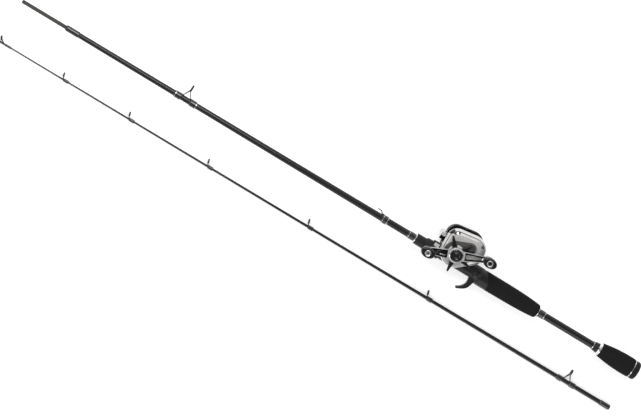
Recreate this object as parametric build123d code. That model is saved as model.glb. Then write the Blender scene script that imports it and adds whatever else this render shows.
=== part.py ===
from build123d import *

import math
import os

# Two-piece casting rod with a low-profile casting reel, laid down side by side.
# Millimetres. X runs along the rod towards the butt and starts at the spigot's shoulder.
# Y is the side that the guides and the reel stand on, and Z points up from the table.

# Butt section: blank and spigot
SPIGOT_DIAMETER = 5.6
SPIGOT_LENGTH = 71.8
SPIGOT_SEATED = 40.0
SPIGOT_SEAT_DIAMETER = 5.2
SPIGOT_CHAMFER = 0.6
BLANK_FRONT_DIAMETER = 7.6
BLANK_SEAT_DIAMETER = 10.3
BLANK_REAR_DIAMETER = 11.0
BLANK_WALL = 0.9
BUTT_X = 958.9
FERRULE_WRAP_LENGTH = 22.3
WRAP_THICKNESS = 0.7
WRAP_SLOPE = 1.6

# Butt section: line guide and hook keeper
BUTT_GUIDE_X = 197.0
BUTT_GUIDE_RING = 10.9
BUTT_GUIDE_HEIGHT = 18.4
BUTT_GUIDE_FOOT = 12.0
BUTT_GUIDE_SPREAD = 10.5
FOOT_THICKNESS = 0.8
FOOT_WIDTH = 2.6
FOOT_WRAP_THICKNESS = 1.1
GUIDE_WIRE = 1.3
HOOP_WIDTH = 1.9
HOOP_WALL = 0.75
INSERT_WALL = 0.9
INSERT_WIDTH = 2.5
HOOP_CHAMFER = 0.25
FRONT_LEG_ANGLE = 62.0
REAR_LEG_ANGLE = 28.0
KEEPER_X = 524.8
KEEPER_WIRE = 1.0
KEEPER_REACH = 11.4
KEEPER_RISE = 3.6
KEEPER_COVER = 0.25
KEEPER_BEND = 1.2
KEEPER_WRAP_LENGTH = 10.6

# Reel seat
SEAT_X = 581.5
SEAT_LENGTH = 122.1
SEAT_RADIUS = 8.4
SEAT_FLARE_START = 95.8
SEAT_FLARE_END = 108.8
SEAT_WRAP_LENGTH = 11.6
CHECK_LENGTH = 1.4
CHECK_RADIUS = 7.8
THREAD_PITCH = 2.0
THREAD_DEPTH = 0.45
THREAD_TURNS = 7
NUT_START = 15.4
NUT_LENGTH = 9.2
NUT_RADIUS = 10.2
NUT_GROOVES = 10
NUT_GROOVE_RADIUS = 1.1
HOOD_LENGTH = 16.0
HOOD_RADIUS = 10.4
HOOD_CROWN = 12.4
HOOD_CROWN_ROUND = 8.0
HOOD_CHAMFER = 0.7
SLIDE_CLEARANCE = 0.1
PART_GAP = 0.3
REAR_POCKET_DEPTH = 9.0
REAR_HOOD_CROWN = 13.6
TRIGGER_START = 93.8
TRIGGER_ROOT = 12.2
TRIGGER_DROP = 31.6
TRIGGER_REACH = 7.5
TRIGGER_TIP = 2.6
TRIGGER_NECK = 6.4
TRIGGER_WIDTH = 8.6
TRIGGER_ROUND = 1.1
TRIGGER_ROOT_DEPTH = 3.4
TRIGGER_HEEL_DROP = 1.7
TRIGGER_FRONT_LEAN = (0.35, -1)
TRIGGER_TIP_LEAN = (-1, -0.55)
TRIGGER_SOLE_LEAN = (1, 0.5)
TRIGGER_HEEL_LEAN = (0.7, 1)
TRIGGER_BACK = 8.0

# Grips and rear end
GRIP_RADIUS = 13.0
GRIP_WAIST_RADIUS = 12.7
GRIP_LENGTH = 85.4
GRIP_REAR_RADIUS = 10.3
GRIP_END_RADIUS = 7.0
GRIP_END_ROUND = 4.0
GRIP_END_LEAN = (1, -0.12)
GRIP_END_TURN = (0.3, -1)
GRIP_JOIN_TOP = 9.5
GRIP_JOIN_LOW = 1.6
GRIP_RING_LENGTH = 2.0
GRIP_RING_RADIUS = 6.6
SHAFT_WRAP_LENGTH = 10.6
COLLAR_LENGTH = 8.8
COLLAR_FRONT_RADIUS = 6.3
COLLAR_REAR_RADIUS = 7.6
REAR_RING_LENGTH = 3.6
REAR_RING_RADIUS = 9.9
REAR_RING_DISH = 1.4
REAR_RING_LIP = 0.3
REAR_GRIP_LENGTH = 53.8
REAR_GRIP_FRONT_RADIUS = 10.1
REAR_GRIP_RADIUS = 14.3
REAR_GRIP_BACK_RADIUS = 13.8
REAR_GRIP_SWELL = 44.1
REAR_GRIP_FRONT_LEAN = (1, 0.2)
REAR_GRIP_BACK_LEAN = (1, -0.16)
BUTT_RING_LENGTH = 1.0
BUTT_CAP_LENGTH = 8.9
BUTT_CAP_RADIUS = 13.6
BUTT_CAP_ROUND = 3.6
BUTT_CAP_SOCKET = 4.0

# Reel: shaft places, measured from the front of the seat and from the rod's axis
DRIVE_FROM_SEAT = 56.5
DRIVE_Y = 15.5
SPOOL_OFFSET_X = 14.4
SPOOL_OFFSET_Y = 15.9
GEAR_TEETH = 64
PINION_TEETH = 10
LEVEL_TEETH = 38
WORM_TEETH = 19
LEVEL_MODULE = 0.5
TOOTH_RISE = 0.85
TOOTH_DEPTH = 1.15
ROOT_SHARE = 0.31
TIP_SHARE = 0.12
WORM_ANGLE = 167.0

# Reel: side outline, a tangent hull round four centres. The far side is drawn in a little.
OUTLINE_DRIVE_RADIUS = 22.3
OUTLINE_CROWN_RADIUS = 20.4
CROWN_OFFSET_X = 3.1
CROWN_OFFSET_Y = -0.2
OUTLINE_FRONT_RADIUS = 15.6
FRONT_OFFSET_X = 6.4
FRONT_OFFSET_Y = 13.8
OUTLINE_REAR_RADIUS = 14.5
REAR_OFFSET_X = 9.6
REAR_OFFSET_Y = -6.4
PALM_MARGIN = 1.2

# Reel: widths along Z
FRAME_HALF = 13.0
FRAME_WALL = 3.0
PLATE_DEPTH = 13.0
PLATE_ROUND = 8.0
PLATE_SKIN = 2.6
PLATE_INSET = 4.6
BOSS_HEIGHT = 1.2
BOSS_DRIVE_RADIUS = 19.0
BOSS_SPOOL_RADIUS = 9.6
BOSS_ROOT = 6.0
PANEL_MARGIN = 8.9
PANEL_HEIGHT = 0.6
COLLAR_RADIUS = 12.4
COLLAR_BORE = 9.2
COLLAR_HEIGHT = 1.2
COLLAR_CHAMFER = 0.4
OIL_PORT_RADIUS = 1.5
OIL_PORT_DEPTH = 2.0
OIL_PORT_OFFSET_X = -3.1
OIL_PORT_OFFSET_Y = 11.0
TRIM_STEP = 0.8
REAR_BAR_OFFSET_X = 5.0
REAR_BAR_DROP = 6.0
REAR_BAR_LENGTH = 13.0
REAR_BAR_HEIGHT = 5.0
WALL_BITE = 0.5
NOSE_REACH = 23.0
NOSE_LENGTH = 7.0
NOSE_HEIGHT = 5.0
NOSE_DROP = 4.5
NOSE_ARM_LENGTH = 5.0
NOSE_ARM_WIDTH = 2.0
NOSE_ROUND = 1.8

# Reel: spool, brake and shafts
SPOOL_RADIUS = 15.2
SPOOL_HALF = 12.0
SPOOL_RIM = 1.1
SPOOL_ARBOR = 10.0
SPOOL_HUB = 3.4
SPOOL_SHAFT = 3.0
SPOOL_WALL = 1.3
SPOOL_ROOM = 1.0
RUNNING_CLEARANCE = 0.04
BEARING_RADIUS = 5.0
BEARING_WIDTH = 3.0
BEARING_SEAT_WALL = 1.5
BEARING_COVER = 1.0
DRIVE_SHAFT = 6.0
GEAR_WIDTH = 3.4
LEVEL_GEAR_WIDTH = 2.6
GEAR_FLOOR = 0.6
GEAR_ROOM = 0.5
WASHER_RADIUS = 11.0
WASHER_THICKNESS = 0.7
WASHER_COUNT = 3
CLUTCH_RADIUS = 6.5
CLUTCH_LENGTH = 5.0
WORM_SHAFT = 5.0
GUIDE_BAR = 2.4
GUIDE_BAR_RISE = 5.4
LINE_EYE_RISE = 14.8
LINE_GUIDE_WALL = 1.4
LINE_GUIDE_WIDTH = 8.0
LINE_EYE_RADIUS = 3.2
LINE_EYE_BORE = 2.4
PAWL_RADIUS = 1.7
PAWL_HEIGHT = 1.0
THUMB_BAR_LENGTH = 6.5
THUMB_BAR_HEIGHT = 5.5
THUMB_BAR_RISE = 5.5
TENSION_RADIUS = 8.2
TENSION_HEIGHT = 3.0
TENSION_NOTCHES = 12
TENSION_NOTCH_RADIUS = 0.8
TENSION_CHAMFER = 0.7
DIAL_RADIUS = 11.0
DIAL_THICKNESS = 1.6
DIAL_RECESS = 0.5
DIAL_SLOT_LENGTH = 16.0
DIAL_SLOT_WIDTH = 1.6

# Reel: foot
FOOT_PLATE_THICKNESS = 2.0
FOOT_PLATE_FRONT = 30.5
FOOT_PLATE_LENGTH = 66.0
FOOT_TIP_HALF = 4.6
FOOT_MID_HALF = 8.0

# Reel: star and handle
STAR_ARMS = 5
STAR_REACH = 27.5
STAR_HUB = 8.4
STAR_ARM_ROOT = 4.6
STAR_ARM_TIP = 1.3
STAR_THICKNESS = 3.2
STAR_ANGLE = -86.0
HANDLE_FRONT_REACH = 41.5
HANDLE_REAR_REACH = 48.0
HANDLE_ANGLE = 21.5
HANDLE_HUB = 11.4
HANDLE_ROOT = 7.6
HANDLE_TIP = 4.4
HANDLE_THICKNESS = 3.0
HANDLE_SWEEP = 3.0
HANDLE_GAP = 3.2
HANDLE_SLOT_START = 16.5
HANDLE_SLOT_FROM_KNOB = 9.0
HANDLE_SLOT_ROOT = 3.4
HANDLE_SLOT_TIP = 1.8
HUB_CAP_RADIUS = 9.2
HUB_CAP_HEIGHT = 4.0
HUB_CAP_ROUND = 1.4
NUT_ACROSS = 10.0
HUB_NUT_HEIGHT = 2.4
POST_DIAMETER = 4.0
KNOB_LENGTH = 21.5
KNOB_WIDTH = 15.0
KNOB_HEIGHT = 21.0
KNOB_ROUND = 2.6
KNOB_SECTIONS = ((0.0, 0.78), (0.45, 0.92), (0.8, 1.0), (1.0, 0.92))
KNOB_CAP_RADIUS = 4.6
KNOB_CAP_THICKNESS = 1.4
KNOB_CAP_DEPTH = 1.0
KNOB_CAP_ROUND = 0.5

# Reel: plate screws
SCREW_RADIUS = 1.9
SCREW_HEAD = 1.2
SCREW_SHANK = 0.9
SCREW_DEPTH = 4.5
SCREW_FROM_RIM = 4.2
SCREW_ROOM = 0.3
SCREW_GRIP = 2.4
SCREW_POST = 3.2
SCREW_FRONT_ANGLE = 137.7
SCREW_REAR_ANGLE = 47.0

# Tip section
TIP_SECTION_GAP = 70.1
TIP_FRONT_X = -71.5
TIP_TUBE_NOSE = 2.0
TIP_DIAMETER = 2.0
TIP_KNEE_X = 560.0
TIP_KNEE_DIAMETER = 4.4
TIP_REAR_DIAMETER = 7.0
SOCKET_CLEARANCE = 0.02
SOCKET_DEPTH = 70.0
TIP_FERRULE_WRAP = 17.0
TIP_WRAP_LENGTH = 12.0
TIP_TUBE_LENGTH = 10.0
TIP_TUBE_WALL = 0.45
TIP_RING = 7.4
TIP_RING_HEIGHT = 5.8
TIP_RING_LEAN = 25.0
TIP_RING_SETBACK = 1.9
SINGLE_GUIDES_X = (33.0, 142.0, 273.3, 441.8, 643.5)
SINGLE_RING_FIRST = 6.8
SINGLE_RING_LAST = 8.2
SINGLE_HEIGHT_FIRST = 6.8
SINGLE_HEIGHT_LAST = 7.7
SINGLE_FOOT = 9.5
SINGLE_SETBACK = 1.0
SINGLE_LEAN = 16.0
SINGLE_LEG_ANGLE = 72.0
DOUBLE_GUIDE_X = 883.6
DOUBLE_RING = 9.2
DOUBLE_HEIGHT = 16.0
DOUBLE_SPREAD = 9.0
DOUBLE_FOOT = 10.0

# How far a cutting body runs past the face that it cuts
OVERRUN = 1.0

# Places worked out from the sizes above
SEAT_REAR = SEAT_X + SEAT_LENGTH
GRIP_REAR = SEAT_REAR + GRIP_LENGTH
SHAFT_WRAP_X = GRIP_REAR + GRIP_RING_LENGTH
BUTT_CAP_X = BUTT_X - BUTT_CAP_LENGTH
BUTT_RING_X = BUTT_CAP_X - BUTT_RING_LENGTH
REAR_GRIP_X = BUTT_RING_X - REAR_GRIP_LENGTH
REAR_RING_X = REAR_GRIP_X - REAR_RING_LENGTH
COLLAR_X = REAR_RING_X - COLLAR_LENGTH
BLANK_END = BUTT_CAP_X + BUTT_CAP_SOCKET
SPIGOT_RADIUS = SPIGOT_DIAMETER / 2
SPIGOT_SEAT_RADIUS = SPIGOT_SEAT_DIAMETER / 2

NUT_X = SEAT_X + NUT_START
HOOD_X = NUT_X + NUT_LENGTH + PART_GAP
HOOD_END = HOOD_X + HOOD_LENGTH
FOOT_X = SEAT_X + FOOT_PLATE_FRONT
FOOT_END = FOOT_X + FOOT_PLATE_LENGTH
FOOT_OUTER = SEAT_RADIUS + SLIDE_CLEARANCE + FOOT_PLATE_THICKNESS

DRIVE = (SEAT_X + DRIVE_FROM_SEAT, DRIVE_Y)
SPOOL = (DRIVE[0] + SPOOL_OFFSET_X, DRIVE[1] + SPOOL_OFFSET_Y)
CROWN = (SPOOL[0] + CROWN_OFFSET_X, SPOOL[1] + CROWN_OFFSET_Y)
REAR = (SPOOL[0] + REAR_OFFSET_X, SPOOL[1] + REAR_OFFSET_Y)
GEAR_DISTANCE = math.hypot(SPOOL_OFFSET_X, SPOOL_OFFSET_Y)
GEAR_MODULE = 2 * GEAR_DISTANCE / (GEAR_TEETH + PINION_TEETH)
SPOOL_ANGLE = math.degrees(math.atan2(SPOOL_OFFSET_Y, SPOOL_OFFSET_X))
WORM_DISTANCE = LEVEL_MODULE * (LEVEL_TEETH + WORM_TEETH) / 2
WORM = (
    DRIVE[0] + WORM_DISTANCE * math.cos(math.radians(WORM_ANGLE)),
    DRIVE[1] + WORM_DISTANCE * math.sin(math.radians(WORM_ANGLE)),
)
FRONT = (WORM[0] + FRONT_OFFSET_X, WORM[1] + FRONT_OFFSET_Y)
OIL_PORT = (FRONT[0] + OIL_PORT_OFFSET_X, FRONT[1] + OIL_PORT_OFFSET_Y)
FRAME_OUT = FRAME_HALF + FRAME_WALL
PLATE_FACE = FRAME_OUT + PLATE_DEPTH
BOSS_FACE = PLATE_FACE + BOSS_HEIGHT
LEVEL_GEAR_Z = FRAME_OUT + GEAR_FLOOR
GEAR_Z = LEVEL_GEAR_Z + LEVEL_GEAR_WIDTH + PART_GAP
GEAR_TOP = GEAR_Z + GEAR_WIDTH
TENSION_Z = BOSS_FACE + PART_GAP
STAR_Z = TENSION_Z + TENSION_HEIGHT + PART_GAP
STAR_TOP = STAR_Z + STAR_THICKNESS
HANDLE_Z = STAR_TOP + HANDLE_GAP
HANDLE_TOP = HANDLE_Z + HANDLE_THICKNESS
KNOB_Z = HANDLE_TOP - HANDLE_SWEEP + PART_GAP
KNOB_TOP = KNOB_Z + KNOB_HEIGHT
CLUTCH_Z = BOSS_FACE - CLUTCH_LENGTH
GEAR_BEARING_Z = PLATE_FACE - BEARING_WIDTH - BEARING_COVER
PALM_BEARING_Z = FRAME_OUT + SPOOL_ROOM
SHAFT_END = PALM_BEARING_Z + BEARING_WIDTH + PART_GAP
GUIDE_BAR_PLACE = (WORM[0], WORM[1] + GUIDE_BAR_RISE)
LINE_EYE = (WORM[0], WORM[1] + LINE_EYE_RISE)
GUIDE_LOW = WORM[1] - WORM_SHAFT / 2 - LINE_GUIDE_WALL - PAWL_HEIGHT
SCREW_TOP = PLATE_FACE - SCREW_DEPTH

TIP_Y = -TIP_SECTION_GAP
TIP_Z = -PLATE_FACE + DOUBLE_RING / 2
SOCKET_X = BUTT_X - SOCKET_DEPTH
TIP_START = TIP_FRONT_X + TIP_TUBE_NOSE


def solid_of(shape):
    """The single solid of a finished shape."""
    return shape.solids()[0]


def group(solids):
    """Several separate solids kept as one node."""
    return Compound([solid_of(item) for item in solids])


def turned(points):
    """Solid turned about X from (along, radius) corners."""
    return revolve(make_face(Polyline(*points, close=True)), Axis.X)


def turned_upright(points, place):
    """Solid turned about an upright axis from (radius, height) corners."""
    face = Plane.XZ * make_face(Polyline(*points, close=True))
    return Pos(*place) * revolve(face, Axis.Z)


def disc(place, radius, bottom, top):
    """Upright round solid between two heights."""
    lift = Pos(place[0], place[1], bottom)
    return lift * extrude(Circle(radius), top - bottom)


def ring(place, radius, bore, bottom, top):
    """Upright ring between two heights."""
    return disc(place, radius, bottom, top) - disc(place, bore, bottom - OVERRUN, top + OVERRUN)


def hull_of(circles):
    """Face inside the tangent hull of (place, radius) circles."""
    edges = [Pos(place[0], place[1]) * Edge.make_circle(radius) for place, radius in circles]
    return make_hull(edges)


def raised(face, bottom, top):
    """A flat face drawn on XY, raised between two heights."""
    return Pos(0, 0, bottom) * extrude(face, top - bottom)


def wire(start, end, diameter):
    """Straight round wire from point to point."""
    run = Vector(*end) - Vector(*start)
    place = Plane(origin=start, z_dir=run)
    return place * extrude(Circle(diameter / 2), run.length)


def butt_radius(x):
    """Outer radius of the butt blank at a place along it."""
    front, seat, rear = (d / 2 for d in (BLANK_FRONT_DIAMETER, BLANK_SEAT_DIAMETER, BLANK_REAR_DIAMETER))
    if x <= SEAT_X:
        return front + (seat - front) * x / SEAT_X
    return seat + (rear - seat) * (x - SEAT_X) / (BLANK_END - SEAT_X)


def tip_radius(x):
    """Outer radius of the tip blank at a place along it."""
    tip, knee, rear = (d / 2 for d in (TIP_DIAMETER, TIP_KNEE_DIAMETER, TIP_REAR_DIAMETER))
    if x <= TIP_KNEE_X:
        return tip + (knee - tip) * (x - TIP_FRONT_X) / (TIP_KNEE_X - TIP_FRONT_X)
    return knee + (rear - knee) * (x - TIP_KNEE_X) / (BUTT_X - TIP_KNEE_X)


def sleeve(radius_at, start, end, front, rear):
    """Sleeve on a blank, with the outer radius given at its two ends."""
    return turned(
        [(start, radius_at(start)), (start, front), (end, rear), (end, radius_at(end))]
    )


def wrap(radius_at, start, end, thickness):
    """Varnished thread wrap: a sleeve with sloped ends."""
    crest_start = start + WRAP_SLOPE
    crest_end = end - WRAP_SLOPE
    return turned(
        [
            (start, radius_at(start)),
            (crest_start, radius_at(crest_start) + thickness),
            (crest_end, radius_at(crest_end) + thickness),
            (end, radius_at(end)),
        ]
    )


def hoop(outer, inner, width):
    """Ring about X with its corners taken off."""
    section = Pos(0, (outer + inner) / 2) * Rectangle(width, outer - inner)
    return revolve(chamfer(section.vertices(), HOOP_CHAMFER), Axis.X)


def blank_core(radius_at, start, end):
    """The space that a blank fills between two places along it."""
    return turned([(start, 0), (start, radius_at(start)), (end, radius_at(end)), (end, 0)])


def guide_foot(radius_at, inner_x, outer_x):
    """Tapered foot that lies along the top of a blank, before the blank's space is taken out."""
    side = Polyline(
        (inner_x, 0),
        (inner_x, radius_at(inner_x) + FOOT_THICKNESS),
        (outer_x, radius_at(outer_x) + FOOT_THICKNESS / 3),
        (outer_x, 0),
        close=True,
    )
    return extrude(make_face(side), FOOT_WIDTH / 2, both=True)


def ring_point(place, radius, angle, lean):
    """Point on a leaned guide ring, at an angle from its lowest point."""
    across = radius * math.sin(math.radians(angle))
    down = radius * math.cos(math.radians(angle))
    tilt = math.radians(lean)
    return (place[0] + down * math.sin(tilt), place[1] - down * math.cos(tilt), across)


def guide_insert(place, ring_diameter, lean):
    """Smooth ring that the line runs through."""
    outer = ring_diameter / 2 - HOOP_WALL
    return Pos(*place) * Rot(0, 0, lean) * hoop(outer, outer - INSERT_WALL, INSERT_WIDTH)


def guide_hoop(place, ring_diameter, lean):
    """Wire hoop that holds the insert."""
    outer = ring_diameter / 2
    return Pos(*place) * Rot(0, 0, lean) * hoop(outer, outer - HOOP_WALL, HOOP_WIDTH)


def eye_room(place, ring_diameter, lean):
    """Space that the legs leave free for the insert and the line."""
    outer = ring_diameter / 2 - HOOP_WALL
    return Pos(*place) * Rot(0, 0, lean) * Rot(0, 90, 0) * Cylinder(outer, 2 * ring_diameter)


def leg_pair(place, ring_diameter, lean, angle, foot_point):
    """Two wires from the sides of a ring down to one foot."""
    reach = ring_diameter / 2 - HOOP_WALL / 2
    return [
        wire(foot_point, ring_point(place, reach, side * angle, lean), GUIDE_WIRE) for side in (1, -1)
    ]


def welded_frame(radius_at, place, ring_diameter, lean, pieces):
    """Guide frame fused from its hoop, legs and feet, clear of the eye and of the blank."""
    frame = guide_hoop(place, ring_diameter, lean)
    for piece in pieces:
        frame += piece
    box = frame.bounding_box()
    frame -= eye_room(place, ring_diameter, lean)
    return frame - blank_core(radius_at, box.min.X - OVERRUN, box.max.X + OVERRUN)


def double_foot_guide(radius_at, x, ring_diameter, height, spread, foot):
    """Frame, insert and the two foot wraps of a guide with a front and a rear foot."""
    place = (x, height)
    pieces, wraps = [], []
    for side, leg_angle in ((-1, FRONT_LEG_ANGLE), (1, REAR_LEG_ANGLE)):
        inner_x = x + side * spread / 2
        outer_x = inner_x + side * foot
        leg_start = (inner_x + side * GUIDE_WIRE / 2, radius_at(inner_x) + FOOT_THICKNESS / 2, 0)
        pieces.append(guide_foot(radius_at, inner_x, outer_x))
        pieces.extend(leg_pair(place, ring_diameter, 0, leg_angle, leg_start))
        ends = sorted((inner_x + side * GUIDE_WIRE, outer_x + side * WRAP_SLOPE))
        wraps.append(wrap(radius_at, ends[0], ends[1], FOOT_WRAP_THICKNESS))
    frame = welded_frame(radius_at, place, ring_diameter, 0, pieces)
    return frame, guide_insert(place, ring_diameter, 0), [binding - frame for binding in wraps]


def single_foot_guide(radius_at, x, ring_diameter, height, foot):
    """Frame, insert and foot wrap of a guide whose ring leans towards the tip."""
    place = (x, height)
    foot_x = x + SINGLE_SETBACK
    leg_start = (foot_x + GUIDE_WIRE / 2, radius_at(foot_x) + FOOT_THICKNESS / 2, 0)
    pieces = [guide_foot(radius_at, foot_x, foot_x + foot)]
    pieces.extend(leg_pair(place, ring_diameter, SINGLE_LEAN, SINGLE_LEG_ANGLE, leg_start))
    frame = welded_frame(radius_at, place, ring_diameter, SINGLE_LEAN, pieces)
    binding = wrap(radius_at, foot_x + GUIDE_WIRE, foot_x + foot + WRAP_SLOPE, FOOT_WRAP_THICKNESS)
    return frame, guide_insert(place, ring_diameter, SINGLE_LEAN), binding - frame


def butt_section():
    """Blank, spigot, wraps, guide and hook keeper of the butt section."""
    spigot = turned(
        [
            (-SPIGOT_LENGTH, 0),
            (-SPIGOT_LENGTH, SPIGOT_RADIUS - SPIGOT_CHAMFER),
            (-SPIGOT_LENGTH + SPIGOT_CHAMFER, SPIGOT_RADIUS),
            (0, SPIGOT_RADIUS),
            (0, SPIGOT_SEAT_RADIUS),
            (SPIGOT_SEATED, SPIGOT_SEAT_RADIUS),
            (SPIGOT_SEATED, 0),
        ]
    )
    blank = turned(
        [
            (0, SPIGOT_SEAT_RADIUS),
            (0, butt_radius(0)),
            (SEAT_X, butt_radius(SEAT_X)),
            (BLANK_END, butt_radius(BLANK_END)),
            (BLANK_END, butt_radius(BLANK_END) - BLANK_WALL),
            (SEAT_X, butt_radius(SEAT_X) - BLANK_WALL),
            (SPIGOT_SEATED, SPIGOT_SEAT_RADIUS),
        ]
    )
    frame, insert, wraps = double_foot_guide(
        butt_radius, BUTT_GUIDE_X, BUTT_GUIDE_RING, BUTT_GUIDE_HEIGHT, BUTT_GUIDE_SPREAD, BUTT_GUIDE_FOOT
    )
    keeper = hook_keeper()
    keeper_end = KEEPER_X + KEEPER_WRAP_LENGTH
    return {
        "ferrule_spigot": spigot,
        "butt_blank": blank,
        "butt_ferrule_wrap": wrap(butt_radius, 0, FERRULE_WRAP_LENGTH, WRAP_THICKNESS),
        "butt_guide_frame": frame,
        "butt_guide_insert": insert,
        "butt_guide_wraps": group(wraps),
        "hook_keeper": keeper,
        "hook_keeper_wrap": wrap(butt_radius, KEEPER_X, keeper_end, KEEPER_WIRE + KEEPER_COVER) - keeper,
    }


def hook_keeper():
    """Bent wire hook that stands up from its wrap and points at the tip."""
    low = butt_radius(KEEPER_X + KEEPER_WRAP_LENGTH) + KEEPER_WIRE / 2
    high = low + KEEPER_RISE
    path = FilletPolyline(
        (KEEPER_X + KEEPER_WRAP_LENGTH - WRAP_SLOPE, low),
        (KEEPER_X - KEEPER_REACH / 4, low),
        (KEEPER_X - KEEPER_REACH / 2, high),
        (KEEPER_X - KEEPER_REACH, high),
        radius=KEEPER_BEND,
    )
    start = Plane(origin=path @ 0, z_dir=path % 0)
    return sweep(start * Circle(KEEPER_WIRE / 2), path=path)


def seat_and_grip_profile():
    """One turned form from the seat's thread to the rear of the main grip."""
    bore_front, bore_rear = butt_radius(SEAT_X), butt_radius(GRIP_REAR)
    flare_start, flare_end = SEAT_X + SEAT_FLARE_START, SEAT_X + SEAT_FLARE_END
    waist_x = (flare_end + GRIP_REAR) / 2
    shoulder_x = GRIP_REAR - GRIP_END_ROUND
    top = Line((SEAT_X, SEAT_RADIUS), (flare_start, SEAT_RADIUS))
    flare = Spline((flare_start, SEAT_RADIUS), (flare_end, GRIP_RADIUS), tangents=[(1, 0), (1, 0)])
    swell = Spline(
        (flare_end, GRIP_RADIUS),
        (waist_x, GRIP_WAIST_RADIUS),
        (shoulder_x, GRIP_REAR_RADIUS),
        tangents=[(1, 0), GRIP_END_LEAN],
    )
    end_round = Spline(
        (shoulder_x, GRIP_REAR_RADIUS),
        (GRIP_REAR, GRIP_END_RADIUS),
        tangents=[GRIP_END_LEAN, GRIP_END_TURN],
    )
    back = Polyline(
        (GRIP_REAR, GRIP_END_RADIUS), (GRIP_REAR, bore_rear), (SEAT_X, bore_front), (SEAT_X, SEAT_RADIUS)
    )
    return revolve(make_face([top, flare, swell, end_round] + back.edges()), Axis.X)


def grip_region():
    """Everything behind the curved join between seat and main grip."""
    reach = 2 * GRIP_RADIUS
    top_x = SEAT_REAR - GRIP_JOIN_TOP
    low_x = SEAT_REAR + GRIP_JOIN_LOW
    far_x = GRIP_REAR + reach
    join = Spline((top_x, GRIP_RADIUS), (SEAT_REAR, 0), (low_x, -GRIP_RADIUS))
    rest = Polyline(
        (low_x, -GRIP_RADIUS),
        (low_x, -reach),
        (far_x, -reach),
        (far_x, reach),
        (top_x, reach),
        (top_x, GRIP_RADIUS),
    )
    return extrude(make_face([join] + rest.edges()), reach, both=True)


def trigger():
    """Finger trigger under the seat, curving down and towards the tip."""
    root_x = SEAT_X + TRIGGER_START
    rear_x = root_x + TRIGGER_ROOT
    tip_x = root_x - TRIGGER_REACH
    tip_low = -TRIGGER_DROP
    tip_high = tip_low + TRIGGER_TIP
    neck_y = (tip_low - SEAT_RADIUS) / 2
    root_y = TRIGGER_ROOT_DEPTH - SEAT_RADIUS
    heel = (rear_x, -SEAT_RADIUS - TRIGGER_HEEL_DROP)
    tip_rear = (tip_x + TRIGGER_TIP / 2, tip_low)
    front = Spline(
        (root_x, root_y),
        (root_x + TRIGGER_NECK / 4, neck_y),
        (tip_x, tip_high),
        tangents=[TRIGGER_FRONT_LEAN, TRIGGER_TIP_LEAN],
    )
    tip = ThreePointArc((tip_x, tip_high), (tip_x, tip_low + TRIGGER_TIP / 3), tip_rear)
    rear = Spline(
        tip_rear,
        (root_x + TRIGGER_BACK, neck_y - TRIGGER_NECK / 4),
        heel,
        tangents=[TRIGGER_SOLE_LEAN, TRIGGER_HEEL_LEAN],
    )
    root = Polyline(heel, (rear_x, root_y), (root_x, root_y))
    blade = extrude(make_face([front, tip, rear] + root.edges()), TRIGGER_WIDTH / 2, both=True)
    flat_rims = blade.edges().group_by(Axis.Z)[0] + blade.edges().group_by(Axis.Z)[-1]
    low = -SEAT_RADIUS - TRIGGER_HEEL_DROP / 2
    return fillet([edge for edge in flat_rims if edge.center().Y < low], TRIGGER_ROUND)


def thread_grooves():
    """Ring grooves between the ridges of the seat's thread."""
    grooves = []
    for turn in range(THREAD_TURNS):
        start = SEAT_X + THREAD_PITCH * (turn + 0.5)
        middle, end = start + THREAD_PITCH / 3, start + THREAD_PITCH * 2 / 3
        corners = [(start, SEAT_RADIUS), (middle, SEAT_RADIUS - THREAD_DEPTH), (end, SEAT_RADIUS)]
        grooves.append(turned(corners))
    return grooves


def reel_seat(form, behind):
    """Seat with its thread, foot pocket, rear hood and trigger."""
    pocket_x = FOOT_END - REAR_POCKET_DEPTH
    hood = crowned_block(SEAT_RADIUS, REAR_HOOD_CROWN, pocket_x, SEAT_X + SEAT_FLARE_END)
    hood = chamfer(hood.edges().group_by(Axis.X)[0], HOOD_CHAMFER)
    seat = form + (hood + trigger() - blank_core(butt_radius, SEAT_X, SEAT_REAR + SEAT_LENGTH)) - behind
    for groove in thread_grooves():
        seat -= groove
    return seat - reel_foot(PART_GAP, SEAT_RADIUS)


def crowned_block(radius, crown, start, end):
    """Block round the rod's axis with a raised crown towards the reel."""
    side = hull_of([((0, 0), radius), ((0, crown - HOOD_CROWN_ROUND), HOOD_CROWN_ROUND)])
    across = Plane(origin=(start, 0, 0), x_dir=(0, 0, -1), z_dir=(1, 0, 0))
    return extrude(across * side, end - start)


def grips_and_fittings():
    """Reel seat, grips and the rings and wraps beside them."""
    form = seat_and_grip_profile()
    behind = grip_region()
    check_x = SEAT_X - CHECK_LENGTH
    shaft_wrap_end = SHAFT_WRAP_X + SHAFT_WRAP_LENGTH
    return {
        "seat_front_wrap": wrap(butt_radius, check_x - SEAT_WRAP_LENGTH, check_x, WRAP_THICKNESS),
        "seat_winding_check": sleeve(butt_radius, check_x, SEAT_X, CHECK_RADIUS, CHECK_RADIUS),
        "reel_seat": reel_seat(form, behind),
        "main_grip": form & behind,
        "main_grip_ring": sleeve(butt_radius, GRIP_REAR, SHAFT_WRAP_X, GRIP_RING_RADIUS, GRIP_RING_RADIUS),
        "shaft_front_wrap": wrap(butt_radius, SHAFT_WRAP_X, shaft_wrap_end, WRAP_THICKNESS),
        "rear_collar": sleeve(butt_radius, COLLAR_X, REAR_RING_X, COLLAR_FRONT_RADIUS, COLLAR_REAR_RADIUS),
        "rear_grip_ring": rear_ring(),
        "rear_grip": rear_grip(),
        "butt_ring": sleeve(butt_radius, BUTT_RING_X, BUTT_CAP_X, REAR_GRIP_BACK_RADIUS, BUTT_CAP_RADIUS),
        "butt_cap": butt_cap() - blank_core(butt_radius, BUTT_CAP_X - OVERRUN, BLANK_END),
    }


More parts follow.
